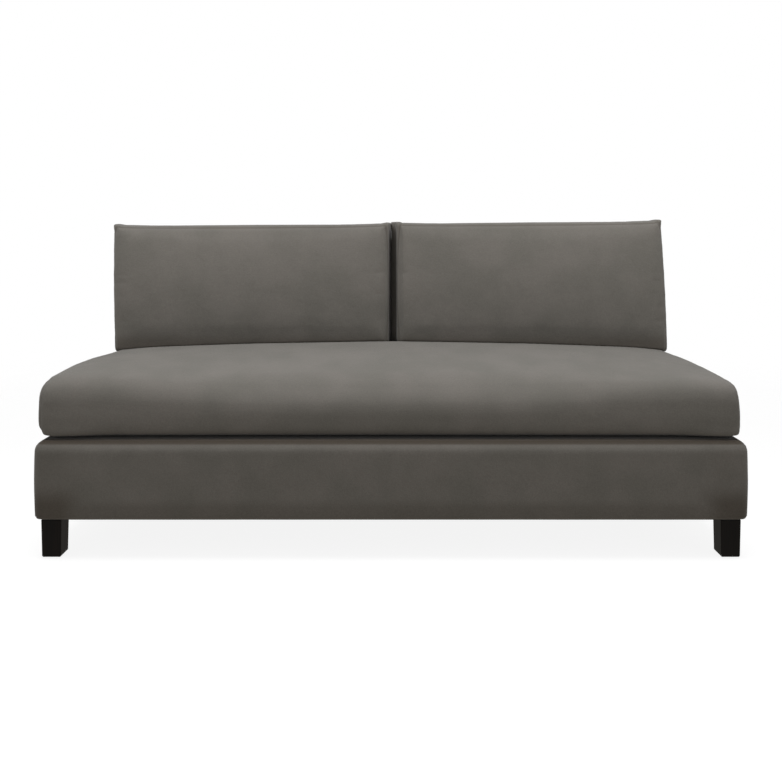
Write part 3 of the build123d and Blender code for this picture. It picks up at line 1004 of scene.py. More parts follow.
def sew(piece: bpy.types.Object, gaps: Sequence[np.ndarray], filling: Filling,
        shaded: float | np.ndarray = 0.0) -> None:
    """Draw seams into a skin, with the cloth gathered a little on both sides, and darken the cloth
    along them, partly the seams' dark joint and partly painted shade.

    Args:
        piece: the skin.
        gaps: for each seam, how far each vertex is from it.
        filling: how the cushion is sewn.
        shaded: painted shade, how much darker the cloth is at each vertex where shade falls on it.
    """
    places, normals = points_of(piece), normals_of(piece)
    mark = np.zeros(len(places)) + shaded
    inward = np.zeros(len(places))
    ripple = rumple(places, 26 * MM, 3.0) + 0.5 * rumple(places, 14 * MM, 7.0)
    for gap in gaps:
        near = np.clip(1 - np.abs(gap) / filling.seam_width, 0, 1)
        groove = near * near * (3 - 2 * near)
        # Painted shade: darker towards each seam, partly the seam's dark joint and partly painted
        # shade in the groove.
        mark = np.maximum(mark, filling.seam_mark * groove ** 3)
        inward = np.maximum(inward, filling.seam_depth * groove)
        reach = np.exp(-((np.abs(gap) / (5 * filling.seam_width)) ** 2)) * (1 - groove)
        inward += filling.pucker * reach * ripple
    place_points(piece, places - normals * inward[:, None])
    mark_seams(piece, mark)


def mark_seams(piece: bpy.types.Object, mark: np.ndarray) -> None:
    """Keep how much darker the cloth is at each vertex, for the cloth's finish to read: near a
    seam, partly its dark joint and partly painted shade, and elsewhere painted shade and shadow.

    Args:
        piece: the skin.
        mark: from 0, where nothing darkens the cloth, to 1.
    """
    layer = piece.data.attributes.get("seam") or piece.data.attributes.new("seam", "FLOAT", "POINT")
    layer.data.foreach_set("value", mark.astype(np.float32))


def zip_bed(rows: np.ndarray, low: Sequence[float], high: Sequence[float]) -> np.ndarray:
    """Sink a shallow bed for a zip into the rear of a skin.

    Args:
        rows: across, depth and height of each vertex.
        low: the same for the zip's lowest corner.
        high: and for its highest corner.

    Returns:
        The rows, with the bed in them.
    """
    slack, sunk, slope, reach = 1.5 * MM, 0.4 * MM, 0.8, 30 * MM
    beyond = np.maximum.reduce([low[0] - rows[:, 0], rows[:, 0] - high[0],
                                low[2] - rows[:, 2], rows[:, 2] - high[2],
                                np.zeros(len(rows))])
    bedded = rows.copy()
    rear = rows[:, 1] > low[1] - reach
    floor = low[1] - sunk + slope * np.maximum(beyond - slack, 0)
    bedded[rear, 1] = np.minimum(rows[rear, 1], floor[rear])
    return bedded


# ---- cushions ----


@dataclass
class SeatCushion:
    """The bench cushion: one crowned case whose top rolls over the front, with panels at its ends.

    A roll is the power of a rounding: cad is the solid's, and the others are the cushion's own in
    its middle and at its ends, which begin between two shares of its half width.  The filling is
    held still below two heights over the foot and behind two depths.  end_fills and spreads are
    how much higher and wider its left and right ends are than the solid's.
    """

    node: str = "seat_cushion_cover"
    body: str = "seat_cushion"
    end_seam: float = 7.5 * MM
    rear_seam: float = 11 * MM
    foot_seam: float = 4 * MM
    held_rise: Span = (4 * MM, 40 * MM)
    held_depth: Span = (0.10, 0.20)
    station: float = 20 * MM
    level_band: float = 15 * MM
    roll_reach: float = 98 * MM
    cad_roll: float = 3.2
    middle_roll: float = 2.1
    end_roll: float = 4.6
    roll_ends: Span = (0.35, 0.97)
    foot_reach: float = 44 * MM
    cad_foot: float = 4.5
    foot_roll: float = 2.3
    foot_ends: Span = (0.80, 0.97)
    end_fills: Span = (12 * MM, 2 * MM)
    spreads: Span = (5 * MM, -2 * MM)
    filling: Filling = field(
        default_factory=lambda: Filling(grain=12 * MM, gather_reach=20 * MM, cap=8 * MM))
    piece: bpy.types.Object | None = None

    def build(self) -> None:
        """Shape, fill and sew the case."""
        low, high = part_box(self.node)
        self.piece = piece = case_from(self.node, "seat_cushion", self.filling.grain)
        rest = points_of(piece)
        moved = fill_case(piece, self.filling, self._seam_gaps(rest, low, high))
        held = smooth_step(rest[:, 2], *(low.z + rise for rise in self.held_rise))
        held *= 1 - smooth_step(rest[:, 1], *self.held_depth)
        filled = rest + moved * held[:, None]
        left, right = self.spreads
        spread = np.interp(rest[:, 0], (low.x, 0.0, high.x), (-left, 0, right))
        filled[:, 0] = rest[:, 0] + spread * held
        place_points(piece, filled)
        Bench(piece).modify("SUBSURF", levels=1, render_levels=1)
        self._roll_front(piece, high)
        sew(piece, self._seam_gaps(points_of(piece), low, high), self.filling)
        self._lay_down(piece, low)
        bpy.ops.object.shade_smooth()

    def _roll_front(self, piece: bpy.types.Object, high: Vector) -> None:
        """Let the top roll over the front: widely in the middle, and tightly at the end panels.

        Args:
            piece: the skin.
            high: the solid's highest corner.
        """
        places, reach = points_of(piece), self.roll_reach
        front = edge_along(places[:, 0], places[:, 1], self.station, highest=False)
        level = np.abs(places[:, 1] - front - reach) < self.level_band
        order = np.argsort(places[level, 0])
        line = edge_along(places[level, 0], places[level, 2], self.station, highest=True)
        top = np.interp(places[:, 0], places[level, 0][order], line[order])
        ahead = (front + reach - places[:, 1]) / reach
        above = (places[:, 2] - top + reach) / reach
        share = smooth_step(np.abs(places[:, 0]), *(high.x * end for end in self.roll_ends))
        wanted = self.middle_roll + (self.end_roll - self.middle_roll) * share
        ahead, above = reshape_corner(ahead, above, self.cad_roll, wanted)
        places[:, 1] = front + reach * (1 - ahead)
        places[:, 2] = top + reach * (above - 1)
        self._roll_foot(places, front, high)
        self._fill_ends(places, front, top, high)
        place_points(piece, places)

    def _roll_foot(self, places: np.ndarray, front: np.ndarray, high: Vector) -> None:
        """Let the lower front edge roll under widely, apart from its ends.

        Args:
            places: the vertices' places, which it changes.
            front: how far forward the front is, at each vertex.
            high: the solid's highest corner.
        """
        reach, low = self.foot_reach, places[:, 2].min()
        share = smooth_step(np.abs(places[:, 0]), *(high.x * end for end in self.foot_ends))
        wanted = self.foot_roll + (self.cad_foot - self.foot_roll) * share
        ahead = (front + reach - places[:, 1]) / reach
        below = (low + reach - places[:, 2]) / reach
        ahead, below = reshape_corner(ahead, below, self.cad_foot, wanted)
        places[:, 1] = front + reach * (1 - ahead)
        places[:, 2] = low + reach * (1 - below)

    def _fill_ends(self, places: np.ndarray, front: np.ndarray, top: np.ndarray,
                   high: Vector) -> None:
        """Raise the top towards its ends, most of all in its front half.

        Args:
            places: the vertices' places, which it changes.
            front: how far forward the front is, at each vertex.
            top: how high the top is behind the roll, at each vertex.
            high: the solid's highest corner.
        """
        behind = (places[:, 1] - front) / (high.y - front)
        filled = smooth_step(places[:, 2], top - 60 * MM, top - 10 * MM)
        filled *= smooth_step(np.abs(places[:, 0]), 0.55 * high.x, 0.95 * high.x)
        filled *= smooth_step(behind, -0.02, 0.10) * (1 - smooth_step(behind, 0.25, 0.75))
        places[:, 2] += filled * np.where(places[:, 0] < 0, *self.end_fills)

    def _seam_gaps(self, places: np.ndarray, low: Vector, high: Vector) -> list[np.ndarray]:
        """How far each vertex is from the seams round the ends, the rear and the underside.

        Args:
            places: the vertices' places.
            low: the solid's lowest corner.
            high: its highest corner.

        Returns:
            The distances for each seam.
        """
        ends = np.abs(places[:, 0]) - (high.x - self.end_seam)
        rear = places[:, 1] - (high.y - self.rear_seam)
        foot = places[:, 2] - (low.z + self.foot_seam)
        return [ends, rear, foot]

    def _lay_down(self, piece: bpy.types.Object, low: Vector) -> None:
        """Flatten the underside on the deck and sink the zip's bed.

        Args:
            piece: the skin.
            low: the solid's lowest corner.
        """
        places = points_of(piece)
        places[:, 2] = np.maximum(places[:, 2], low.z)
        place_points(piece, zip_bed(places, *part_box("seat_zip")))

    def dress(self, dresser: Dresser) -> None:
        """Put the cover cloth on and join the cushion to its body.

        Args:
            dresser: what puts the finishes on.
        """
        dresser.dress(self.piece, "cover_fabric")
        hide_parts(self.node)
        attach(self.piece, self.body)


@dataclass
class BackCushion:
    """A loose back cushion, boxed all round, pressed against its neighbour and lightly settled.

    Its top corners are nearly square, the outer one with a small point, its ear.  flare is how
    much wider it gets towards its top, lifts how much its inner and outer top corners stand up,
    and hollow how far its front edge by the split draws back.  The spans are the places between
    which a change sets in, along its depth, its height or its width.
    """

    side: Side
    plane: BackPlane = field(default_factory=BackPlane)
    depth: float = 165 * MM
    seam_inset: float = 9 * MM
    held_rise: Span = (-10 * MM, 50 * MM)
    flare: float = 0.0
    flare_from: Span = (0.55, 1.0)
    lifts: Span = (0.0, 0.0)
    lift_from: Span = (0.1, 1.0)
    hollow: float = 3 * MM
    hollow_depth: Span = (50 * MM, 76 * MM)
    plump: float = 9 * MM
    plump_depth: Span = (10 * MM, 90 * MM)
    ear: float = 12 * MM
    ear_reach: float = 34 * MM
    corner_reach: float = 34 * MM
    corner_power: float = 6.0
    pressed_gap: float = 0.4 * MM
    pressed_slant: float = 0.02
    pressed_depth: Span = (62 * MM, 84 * MM)
    pressed_rear: Span = (50 * MM, 22 * MM)
    pressed_width: Span = (14 * MM, 46 * MM)
    rear_room: float = 7 * MM
    # Painted shadow: how much darker the cloth is at its foot, where it meets the seat, and how
    # high that reaches.
    foot_shade: float = 0.55
    foot_shade_rise: float = 38 * MM
    foot_rise: Span = (-20 * MM, 70 * MM)
    foot_gap: float = 0.6 * MM
    foot_sink: float = 14 * MM
    filling: Filling = field(default_factory=lambda: Filling(grain=8 * MM, cap=8 * MM, fill=0.75))
    piece: bpy.types.Object | None = None

    @property
    def node(self) -> str:
        """The CAD node of this cushion's cover."""
        return f"{self.side.word}_back_cover"

    def build(self, seat: bpy.types.Object) -> None:
        """Shape, fill and sew the case, and let its foot lie on the seat.

        Args:
            seat: the seat cushion that it rests on.
        """
        name = f"{self.side.word}_back_cushion"
        self.piece = piece = case_from(self.node, name, self.filling.grain)
        rest = points_of(piece)
        moved = fill_case(piece, self.filling, self._seam_gaps(rest))
        before = self.plane.inward(rest)
        held = smooth_step(before[:, 2], *self.held_rise)
        rows = self.plane.inward(rest + moved * held[:, None])
        rows[:, 0] = before[:, 0]
        rows[:, 2] = stretched_to(rows[:, 2], before[:, 2])
        front = 1 - smooth_step(rows[:, 1], *self.plump_depth)
        share = np.clip(rows[:, 2] / rows[:, 2].max(), 0, 1)
        rows[:, 1] -= self.plump * front * np.sin(np.pi * share)
        place_points(piece, self.plane.outward(rows))
        Bench(piece).modify("SUBSURF", levels=1, render_levels=1)
        self._square_corners(piece)
        self._press_inner_end(piece)
        height = self.plane.inward(points_of(piece))[:, 2]
        # Painted shadow: darker towards the foot, where the cushion meets the seat.
        shaded = self.foot_shade * (1 - smooth_step(height, 0.0, self.foot_shade_rise))
        sew(piece, self._seam_gaps(points_of(piece)), self.filling, shaded)
        self._keep_clear(piece)
        self._rest_on(piece, seat)
        bpy.ops.object.shade_smooth()

    def _seam_gaps(self, places: np.ndarray) -> list[np.ndarray]:
        """How far each vertex is from the front seam and the rear seam."""
        depth = self.plane.inward(places)[:, 1]
        return [depth - self.seam_inset, depth - (self.depth - self.seam_inset)]

    def _put(self, piece: bpy.types.Object, across: np.ndarray, depth: np.ndarray,
             height: np.ndarray) -> None:
        """Move the vertices to places out from the split, behind the face and up along it."""
        rows = np.column_stack((across * self.side.value, depth, height))
        place_points(piece, self.plane.outward(rows))

    def _square_corners(self, piece: bpy.types.Object) -> None:
        """Square the top corners, widen the cushion upwards and pull the outer corner out.

        Args:
            piece: the skin.
        """
        rows = self.plane.inward(points_of(piece))
        across, height = rows[:, 0] * self.side.value, rows[:, 2]
        inner, outer, top = across.min(), across.max(), height.max()
        reach, power = self.corner_reach, self.corner_power
        above = (height - top + reach) / reach
        beyond, raised = reshape_corner((across - outer + reach) / reach, above, CIRCLE, power)
        across = np.where(beyond > 0, outer + reach * (beyond - 1), across)
        before, lifted = reshape_corner((inner + reach - across) / reach, above, CIRCLE, power)
        across = np.where(before > 0, inner + reach * (1 - before), across)
        level = np.maximum(raised, lifted)
        height = np.where(level > 0, top + reach * (level - 1), height)
        share = np.clip(height / top, 0, 1)
        outwards = (across - inner) / (outer - inner)
        across += self.flare * share * smooth_step(outwards, *self.flare_from)
        lift = self.lifts[0] + (self.lifts[1] - self.lifts[0]) * outwards
        height += lift * smooth_step(share, *self.lift_from)
        for depth in (self.seam_inset, self.depth - self.seam_inset):
            away = np.column_stack((across - outer - self.flare, rows[:, 1] - depth,
                                    height - top - self.lifts[1]))
            pull = np.clip(1 - np.linalg.norm(away, axis=1) / self.ear_reach, 0, 1) ** 3
            across += self.ear * pull
            height += 0.5 * self.ear * pull
        self._put(piece, across, rows[:, 1], height)

    def _split_face(self, rows: np.ndarray) -> np.ndarray:
        """How far out the face is, at each vertex's depth, where both cushions meet."""
        slant = self.pressed_slant * self.side.value * (rows[:, 1] - self.depth / 2)
        return self.pressed_gap + slant

    def _press_inner_end(self, piece: bpy.types.Object) -> None:
        """Press the end by the split against the other cushion, behind its rounded front edge.

        Args:
            piece: the skin.
        """
        rows = self.plane.inward(points_of(piece))
        across = rows[:, 0] * self.side.value
        pressed = smooth_step(rows[:, 1], *self.pressed_depth)
        pressed *= 1 - smooth_step(rows[:, 1], *(self.depth - one for one in self.pressed_rear))
        near = 1 - smooth_step(across, *(across.min() + one for one in self.pressed_width))
        ahead = 1 - smooth_step(rows[:, 1], *self.hollow_depth)
        across += self.hollow * ahead * near
        across += (self._split_face(rows) - across) * pressed * near
        self._put(piece, across, rows[:, 1], rows[:, 2])

    def _keep_clear(self, piece: bpy.types.Object) -> None:
        """Keep the cushion on its own side of the split and in front of the back.

        Args:
            piece: the skin.
        """
        rows = self.plane.inward(points_of(piece))
        across = np.maximum(rows[:, 0] * self.side.value, self._split_face(rows))
        rows[:, 0] = across * self.side.value
        rows[:, 1] = np.minimum(rows[:, 1], self.depth + self.rear_room)
        zipped = self.plane.inward(points_of(frame["nodes"][f"{self.side.word}_back_zip"]))
        rows = zip_bed(rows, zipped.min(axis=0), zipped.max(axis=0))
        place_points(piece, self.plane.outward(rows))

    def _rest_on(self, piece: bpy.types.Object, seat: bpy.types.Object) -> None:
        """Let the foot sink until it lies on the seat's crown.

        Args:
            piece: the skin.
            seat: the seat cushion.
        """
        seat_tree = BVHTree.FromPolygons([tuple(p) for p in points_of(seat)],
                                         [tuple(face.vertices) for face in seat.data.polygons])
        places = points_of(piece)
        heights = self.plane.inward(places)[:, 2]
        rise, reach = self.plane.rise, 0.3
        for index in np.flatnonzero(heights < self.foot_rise[1]):
            start = Vector(places[index]) + rise * reach
            hit, _, _, away = seat_tree.ray_cast(start, -rise)
            if hit is None:
                continue
            gap = away - reach - self.foot_gap
            foot = float(1 - smooth_step(np.array([heights[index]]), *self.foot_rise)[0])
            shift = gap if gap < 0 else min(gap, self.foot_sink) * foot
            places[index] = np.array(Vector(places[index]) - rise * shift)
        place_points(piece, places)

    def dress(self, dresser: Dresser) -> None:
        """Put the cover cloth on and join the cushion to its body.

        Args:
            dresser: what puts the finishes on.
        """
        dresser.dress(self.piece, "cover_fabric")
        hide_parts(self.node)
        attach(self.piece, f"{self.side.word}_back_cushion")


# ---- upholstered frame ----


def shell(piece: bpy.types.Object, gauge: float) -> None:
    """Give an open skin the thickness of its cloth, inwards, and smooth it.

    Args:
        piece: the skin, whose faces look outwards.
        gauge: the cloth's thickness.
    """
    Bench(piece).modify("SOLIDIFY", thickness=gauge, offset=-1.0, use_rim=True)
    bpy.ops.object.shade_smooth_by_angle(angle=math.radians(50))


def split_off(piece: bpy.types.Object, name: str,
              wanted: Callable[[Vector, Vector], bool]) -> bpy.types.Object:
    """Part some faces of a skin from the rest.

    Args:
        piece: the skin.
        name: the new piece's name.
        wanted: says of a face's centre and normal whether it goes.

    Returns:
        The new piece.
    """
    before = set(bpy.data.objects)
    bench = Bench(piece)
    bench.pick_faces(wanted)
    bpy.ops.mesh.separate(type="SELECTED")
    bench.done()
    fresh = (set(bpy.data.objects) - before).pop()
    fresh.name = fresh.data.name = name
    return fresh


@dataclass
class Base:
    """The upholstered border round the seat frame: a front that wraps both corners, and two ends.

    The spans are distances from an edge of the border between which painted shade on its cloth sets
    in.
    """

    top_radius: float = 26 * MM
    corner_radius: float = 22 * MM
    hem_radius: float = 9 * MM
    lap: float = 28 * MM
    gauge: float = 2 * MM
    belly: float = 3.5 * MM
    rear_fade: Span = (0.36, 0.40)
    cell: float = 14 * MM
    seam_reach: float = 5 * MM
    seam_sink: float = 1.6 * MM
    seam_shade: float = 0.5
    # Painted shadow along the border's top, under the seat cushion's overhang.
    tuck: Span = (13 * MM, 6 * MM)
    # Painted shade: darker and warmer towards the bottom edge.
    hem: Span = (28 * MM, 58 * MM)
    hem_shade: float = 0.32
    # Painted shade: a dark smudge at the low front corners, above the legs.
    corner_width: Span = (150 * MM, 60 * MM)
    corner_depth: Span = (60 * MM, 130 * MM)
    corner_rise: Span = (35 * MM, 100 * MM)
    corner_shade: float = 0.72
    pieces: dict[str, bpy.types.Object] = field(default_factory=dict)

    def build(self) -> None:
        """Shape the border as one padded skin and part it at its two upright seams."""
        low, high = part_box("front_border_cover")
        ends_low, ends_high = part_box("right_border_cover")
        seam_y, rear = ends_low.y, ends_high.y
        bench = Bench.block("base_front", (low.x, low.y, low.z), (high.x, rear, high.z))
        self._round_edges(bench, low, high, rear)
        self._open_up(bench, low, high)
        bench.rows(Axis.DEPTH, [seam_y, seam_y + self.seam_reach, seam_y - self.seam_reach])
        bench.grid(self.cell, (Axis.ACROSS, low.x, high.x), (Axis.DEPTH, low.y, rear))
        bench.grid(self.cell * 0.8, (Axis.UPRIGHT, low.z, high.z))
        front = bench.done()
        self._pad(front, low, high, seam_y)
        right = split_off(front, "base_right", lambda c, n: c.y > seam_y and c.x > 0)
        left = split_off(front, "base_left", lambda c, n: c.y > seam_y and c.x < 0)
        self.pieces = {"front": front, "right": right, "left": left}
        for piece in self.pieces.values():
            shell(piece, self.gauge)

    def _round_edges(self, bench: Bench, low: Vector, high: Vector, rear: float) -> None:
        """Round the front corners, the rim and the hem, and take the rear away.

        Args:
            bench: the bench with the block on it.
            low: the block's lowest corner.
            high: its highest corner at the front.
            rear: how far back it reaches.
        """
        near = 0.1 * MM

        def upright_front(first: Vector, second: Vector) -> bool:
            """Whether an edge is an upright front corner."""
            return abs(first.z - second.z) > near and max(first.y, second.y) < low.y + near

        def rim(level: float) -> Callable[[Vector, Vector], bool]:
            """What picks the edges at a level, apart from the rear one.

            Args:
                level: the height of these edges.

            Returns:
                A function that says of an edge's two ends whether it is picked.
            """
            def wanted(first: Vector, second: Vector) -> bool:
                """Whether an edge is one of them."""
                level_one = abs(first.z - level) < near and abs(second.z - level) < near
                return level_one and min(first.y, second.y) < rear - near
            return wanted

        for wanted, radius, segments in ((upright_front, self.corner_radius, 6),
                                         (rim(high.z), self.top_radius, 4),
                                         (rim(low.z), self.hem_radius, 2)):
            bench.pick_edges(wanted)
            bench.bevel(radius, segments)
        bench.pick_faces(lambda centre, normal: normal.y > 0.9)
        bench.delete_picked()

    def _open_up(self, bench: Bench, low: Vector, high: Vector) -> None:
        """Leave only a lap of the top and the bottom, as the cloth is turned in there.

        Args:
            bench: the bench with the border on it.
            low: the border's lowest corner.
            high: its highest corner.
        """
        inner_x, inner_y = high.x - self.lap, low.y + self.lap
        bench.rows(Axis.ACROSS, [-inner_x, inner_x])
        bench.rows(Axis.DEPTH, [inner_y])
        bench.pick_faces(lambda centre, normal: abs(normal.z) > 0.9 and abs(centre.x) < inner_x
                         and centre.y > inner_y)
        bench.delete_picked()

    def _pad(self, piece: bpy.types.Object, low: Vector, high: Vector, seam_y: float) -> None:
        """Swell the border over its padding, with soft hand-worked hollows and its seams sunk.

        Args:
            piece: the skin.
            low: its lowest corner.
            high: its highest corner.
            seam_y: how far back the upright seams are.
        """
        places, normals = points_of(piece), normals_of(piece)
        share = (places[:, 2] - low.z) / (high.z - low.z)
        swell = self.belly * np.sin(np.pi * np.clip(share, 0, 1)) ** 0.7
        swell += 0.8 * MM * rumple(places, 0.16, 1.0) + 0.35 * MM * rumple(places, 0.045, 4.0)
        upright = 1 - np.abs(normals[:, 2])
        swell *= smooth_step(upright, 0.1, 0.9)
        mark = np.clip(1 - np.abs(places[:, 1] - seam_y) / self.seam_reach, 0, 1)
        ends = np.abs(places[:, 0]) > high.x - 10 * MM
        swell -= self.seam_sink * mark * ends
        rear_fade = 1 - smooth_step(places[:, 1], *self.rear_fade)
        place_points(piece, places + normals * (swell * rear_fade)[:, None])
        self._shade(piece, places, low, high, self.seam_shade * mark * ends)

    def _shade(self, piece: bpy.types.Object, places: np.ndarray, low: Vector, high: Vector,
               seams: np.ndarray) -> None:
        """Paint shade into the cloth: at its seams, partly their dark joint and partly painted
        shade; a painted shadow along its top under the seat cushion; painted shade towards its
        bottom edge; and painted shade at its low corners.

        Args:
            piece: the skin.
            places: where its vertices were before it swelled.
            low: its lowest corner.
            high: its highest corner.
            seams: the darkening of the seams at each vertex, partly their dark joint and partly
                painted shade.
        """
        across, depth, upright = np.abs(places[:, 0]), places[:, 1], places[:, 2]
        # Painted shadow under the seat, painted shade at the bottom edge and at the low corners.
        tuck = smooth_step(upright, *(high.z - one for one in self.tuck))
        hem = 1 - smooth_step(upright, *(low.z + one for one in self.hem))
        corner = smooth_step(across, *(high.x - one for one in self.corner_width))
        corner *= 1 - smooth_step(depth, *(low.y + one for one in self.corner_depth))
        corner *= 1 - 0.85 * smooth_step(upright, *(low.z + one for one in self.corner_rise))
        shades = (seams, tuck, self.hem_shade * hem, self.corner_shade * corner)
        mark_seams(piece, np.max(shades, axis=0))

    def dress(self, dresser: Dresser) -> None:
        """Put the cover cloth on the border and join it to the frame.

        Args:
            dresser: what puts the finishes on.
        """
        for name, piece in self.pieces.items():
            dresser.dress(piece, "cover_fabric")
            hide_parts(f"{name}_border_cover")
            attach(piece, "frame")


@dataclass
class BackShell:
    """The upholstered back: one cover over its face, top and ends, and a flat panel behind it."""

    top_radius: float = 12 * MM
    end_radius: float = 4 * MM
    gauge: float = 2 * MM
    cell: float = 16 * MM
    belly: float = 2.5 * MM
    inside: bpy.types.Object | None = None
    outside: bpy.types.Object | None = None

    def build(self) -> None:
        """Shape both covers."""
        self.inside = self._inside()
        self.outside = self._outside()

    def _inside(self) -> bpy.types.Object:
        """Shape the cover that wraps the face, the top and the ends of the back.

        Returns:
            The cover.
        """
        low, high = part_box("inside_back_cover")
        mesh = points_of(frame["nodes"]["inside_back_cover"])
        foot = mesh[mesh[:, 2] < low.z + 0.1 * MM]
        crest = mesh[mesh[:, 2] > high.z - 20 * MM]
        bench = Bench.block("back_inside", low, high)
        places = points_of(bench.piece)
        top = places[:, 2] > (low.z + high.z) / 2
        front = places[:, 1] < (low.y + high.y) / 2
        lean = math.tan(BackPlane().lean)
        front_foot, rear_foot = foot[:, 1].min(), foot[:, 1].max()
        rear_top = crest[:, 1].max()
        places[~top & front, 1] = front_foot
        places[~top & ~front, 1] = rear_foot
        places[top & front, 1] = front_foot + (high.z - low.z) * lean
        places[top & ~front, 1] = rear_top
        place_points(bench.piece, places)
        near = 1 * MM

        def over_top(first: Vector, second: Vector) -> bool:
            """Whether an edge is one of those round the top, apart from the rear one."""
            rear_edge = min(first.y, second.y) > rear_top - near
            return min(first.z, second.z) > high.z - near and not rear_edge

        def upright_face(first: Vector, second: Vector) -> bool:
            """Whether an edge runs up one end of the face.

            Args:
                first: the edge's first end.
                second: its second end.

            Returns:
                True where it does.
            """
            facing = all(abs(p.y - front_foot - (p.z - low.z) * lean) < near
                         for p in (first, second))
            return facing and abs(first.z - second.z) > 100 * near

        bench.pick_edges(over_top)
        bench.bevel(self.top_radius, 4)
        bench.pick_faces(lambda centre, normal: normal.z < -0.9 or normal.y > 0.9)
        bench.delete_picked()
        bench.pick_edges(upright_face)
        bench.bevel(self.end_radius, 2)
        bench.grid(self.cell, (Axis.ACROSS, low.x, high.x), (Axis.UPRIGHT, low.z, high.z),
                   (Axis.DEPTH, low.y, high.y))
        piece = bench.done()
        places, normals = points_of(piece), normals_of(piece)
        front_face = normals[:, 1] < -0.8
        swell = 0.7 * MM * rumple(places, 0.15, 2.0) + 0.3 * MM * rumple(places, 0.05, 6.0)
        swell = np.where(front_face, np.minimum(swell, 0), swell)
        rear_y = rear_top + (places[:, 2] - high.z) * (rear_top - rear_foot) / (high.z - low.z)
        swell *= smooth_step(rear_y - places[:, 1], 0.0, 25 * MM)
        place_points(piece, places + normals * swell[:, None])
        mark_seams(piece, np.zeros(len(places)))
        shell(piece, self.gauge)
        return piece

    def _outside(self) -> bpy.types.Object:
        """Shape the flat panel on the rear, drawn tight, with its edges turned in.

        Returns:
            The panel.
        """
        low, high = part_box("outside_back_cover")
        slope = (high.y - low.y - self.gauge) / (high.z - low.z)
        bench = Bench.panel("back_outside", (low.x, low.z, 0), (high.x, high.z, 0))
        bench.grid(self.cell, (Axis.ACROSS, low.x, high.x), (Axis.DEPTH, low.z, high.z))
        edge = 5 * MM
        bench.rows(Axis.ACROSS, [low.x + edge, high.x - edge])
        bench.rows(Axis.DEPTH, [low.z + edge, high.z - edge])
        piece = bench.done()
        flat = points_of(piece)
        across, upright = flat[:, 0], flat[:, 1]
        rim = to_rim(flat, (low.x, low.z), (high.x, high.z))
        turned = 1 - smooth_step(rim, 0, 7 * MM)
        taut = 0.9 * MM * rumple(flat, 0.22, 5.0) * smooth_step(rim, 0.01, 0.12)
        depth = low.y + self.gauge + (upright - low.z) * slope
        depth += taut - 1.3 * MM * turned
        place_points(piece, np.column_stack((across, depth, upright)))
        activate(piece)
        bpy.ops.object.mode_set(mode="EDIT")
        bpy.ops.mesh.select_all(action="SELECT")
        bpy.ops.mesh.normals_make_consistent(inside=False)
        bpy.ops.object.mode_set(mode="OBJECT")
        if piece.data.polygons[0].normal.y < 0:
            bpy.ops.object.mode_set(mode="EDIT")
            bpy.ops.mesh.flip_normals()
            bpy.ops.object.mode_set(mode="OBJECT")
        # The cloth darkens along its turned-in edges: partly the seam's dark joint and partly
        # painted shade.
        mark_seams(piece, 0.5 * np.clip(1 - np.abs(rim - 2 * MM) / (5 * MM), 0, 1))
        shell(piece, self.gauge * 0.6)
        return piece

    def dress(self, dresser: Dresser) -> None:
        """Put the cover cloth on both and join them to the frame.

        Args:
            dresser: what puts the finishes on.
        """
        for piece, node in ((self.inside, "inside_back_cover"),
                            (self.outside, "outside_back_cover")):
            dresser.dress(piece, "cover_fabric")
            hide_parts(node)
            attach(piece, "frame")


@dataclass
class Underside:
    """The deck cloth under the seat cushion and the thin black cloth under the frame."""

    sag: float = 3 * MM
    cell: float = 25 * MM
    deck: bpy.types.Object | None = None
    dust: bpy.types.Object | None = None

    def build(self) -> None:
        """Shape both cloths."""
        self.deck = self._sheet("deck_cloth", "deck_sheet", 0.0)
        self.dust = self._sheet("dust_cover", "dust_sheet", self.sag)

    def _sheet(self, node: str, name: str, sag: float) -> bpy.types.Object:
        """A level cloth in a node's place.

        Args:
            node: the CAD node.
            name: the new piece's name.
            sag: how far its middle hangs.

        Returns:
            The cloth.
        """
        low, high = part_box(node)
        gauge = min(high.z - low.z, 0.8 * MM)
        bench = Bench.panel(name, (low.x, low.y, high.z), (high.x, high.y, high.z))
        bench.grid(self.cell, (Axis.ACROSS, low.x, high.x), (Axis.DEPTH, low.y, high.y))
        piece = bench.done()
        if node == "dust_cover":
            bench.pick_faces(lambda centre, normal: self._over_leg(centre))
            bench.delete_picked()
            bench.done()
        places = points_of(piece)
        rim = to_rim(places, (low.x, low.y), (high.x, high.y))
        places[:, 2] -= sag * smooth_step(rim, 0, 0.25)
        places[:, 2] -= 0.2 * MM * (1 + rumple(places, 0.12, 8.0))
        place_points(piece, places)
        shell(piece, gauge)
        return piece

    def _over_leg(self, centre: Vector) -> bool:
        """Whether a place lies over one of the legs.

        Args:
            centre: the place.

        Returns:
            True where it does.
        """
        for word in ("front_left", "front_right", "rear_left", "rear_right"):
            low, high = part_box(f"{word}_leg")
            if low.x - 2 * MM < centre.x < high.x + 2 * MM and low.y < centre.y < high.y:
                return True
        return False

    def dress(self, dresser: Dresser) -> None:
        """Put the cloths' finishes on and join them to the frame.

        Args:
            dresser: what puts the finishes on.
        """
        for piece, node, slot in ((self.deck, "deck_cloth", "deck_fabric"),
                                  (self.dust, "dust_cover", "dust_cloth")):
            dresser.dress(piece, slot)
            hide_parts(node)
            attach(piece, "frame")
            low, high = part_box(node)


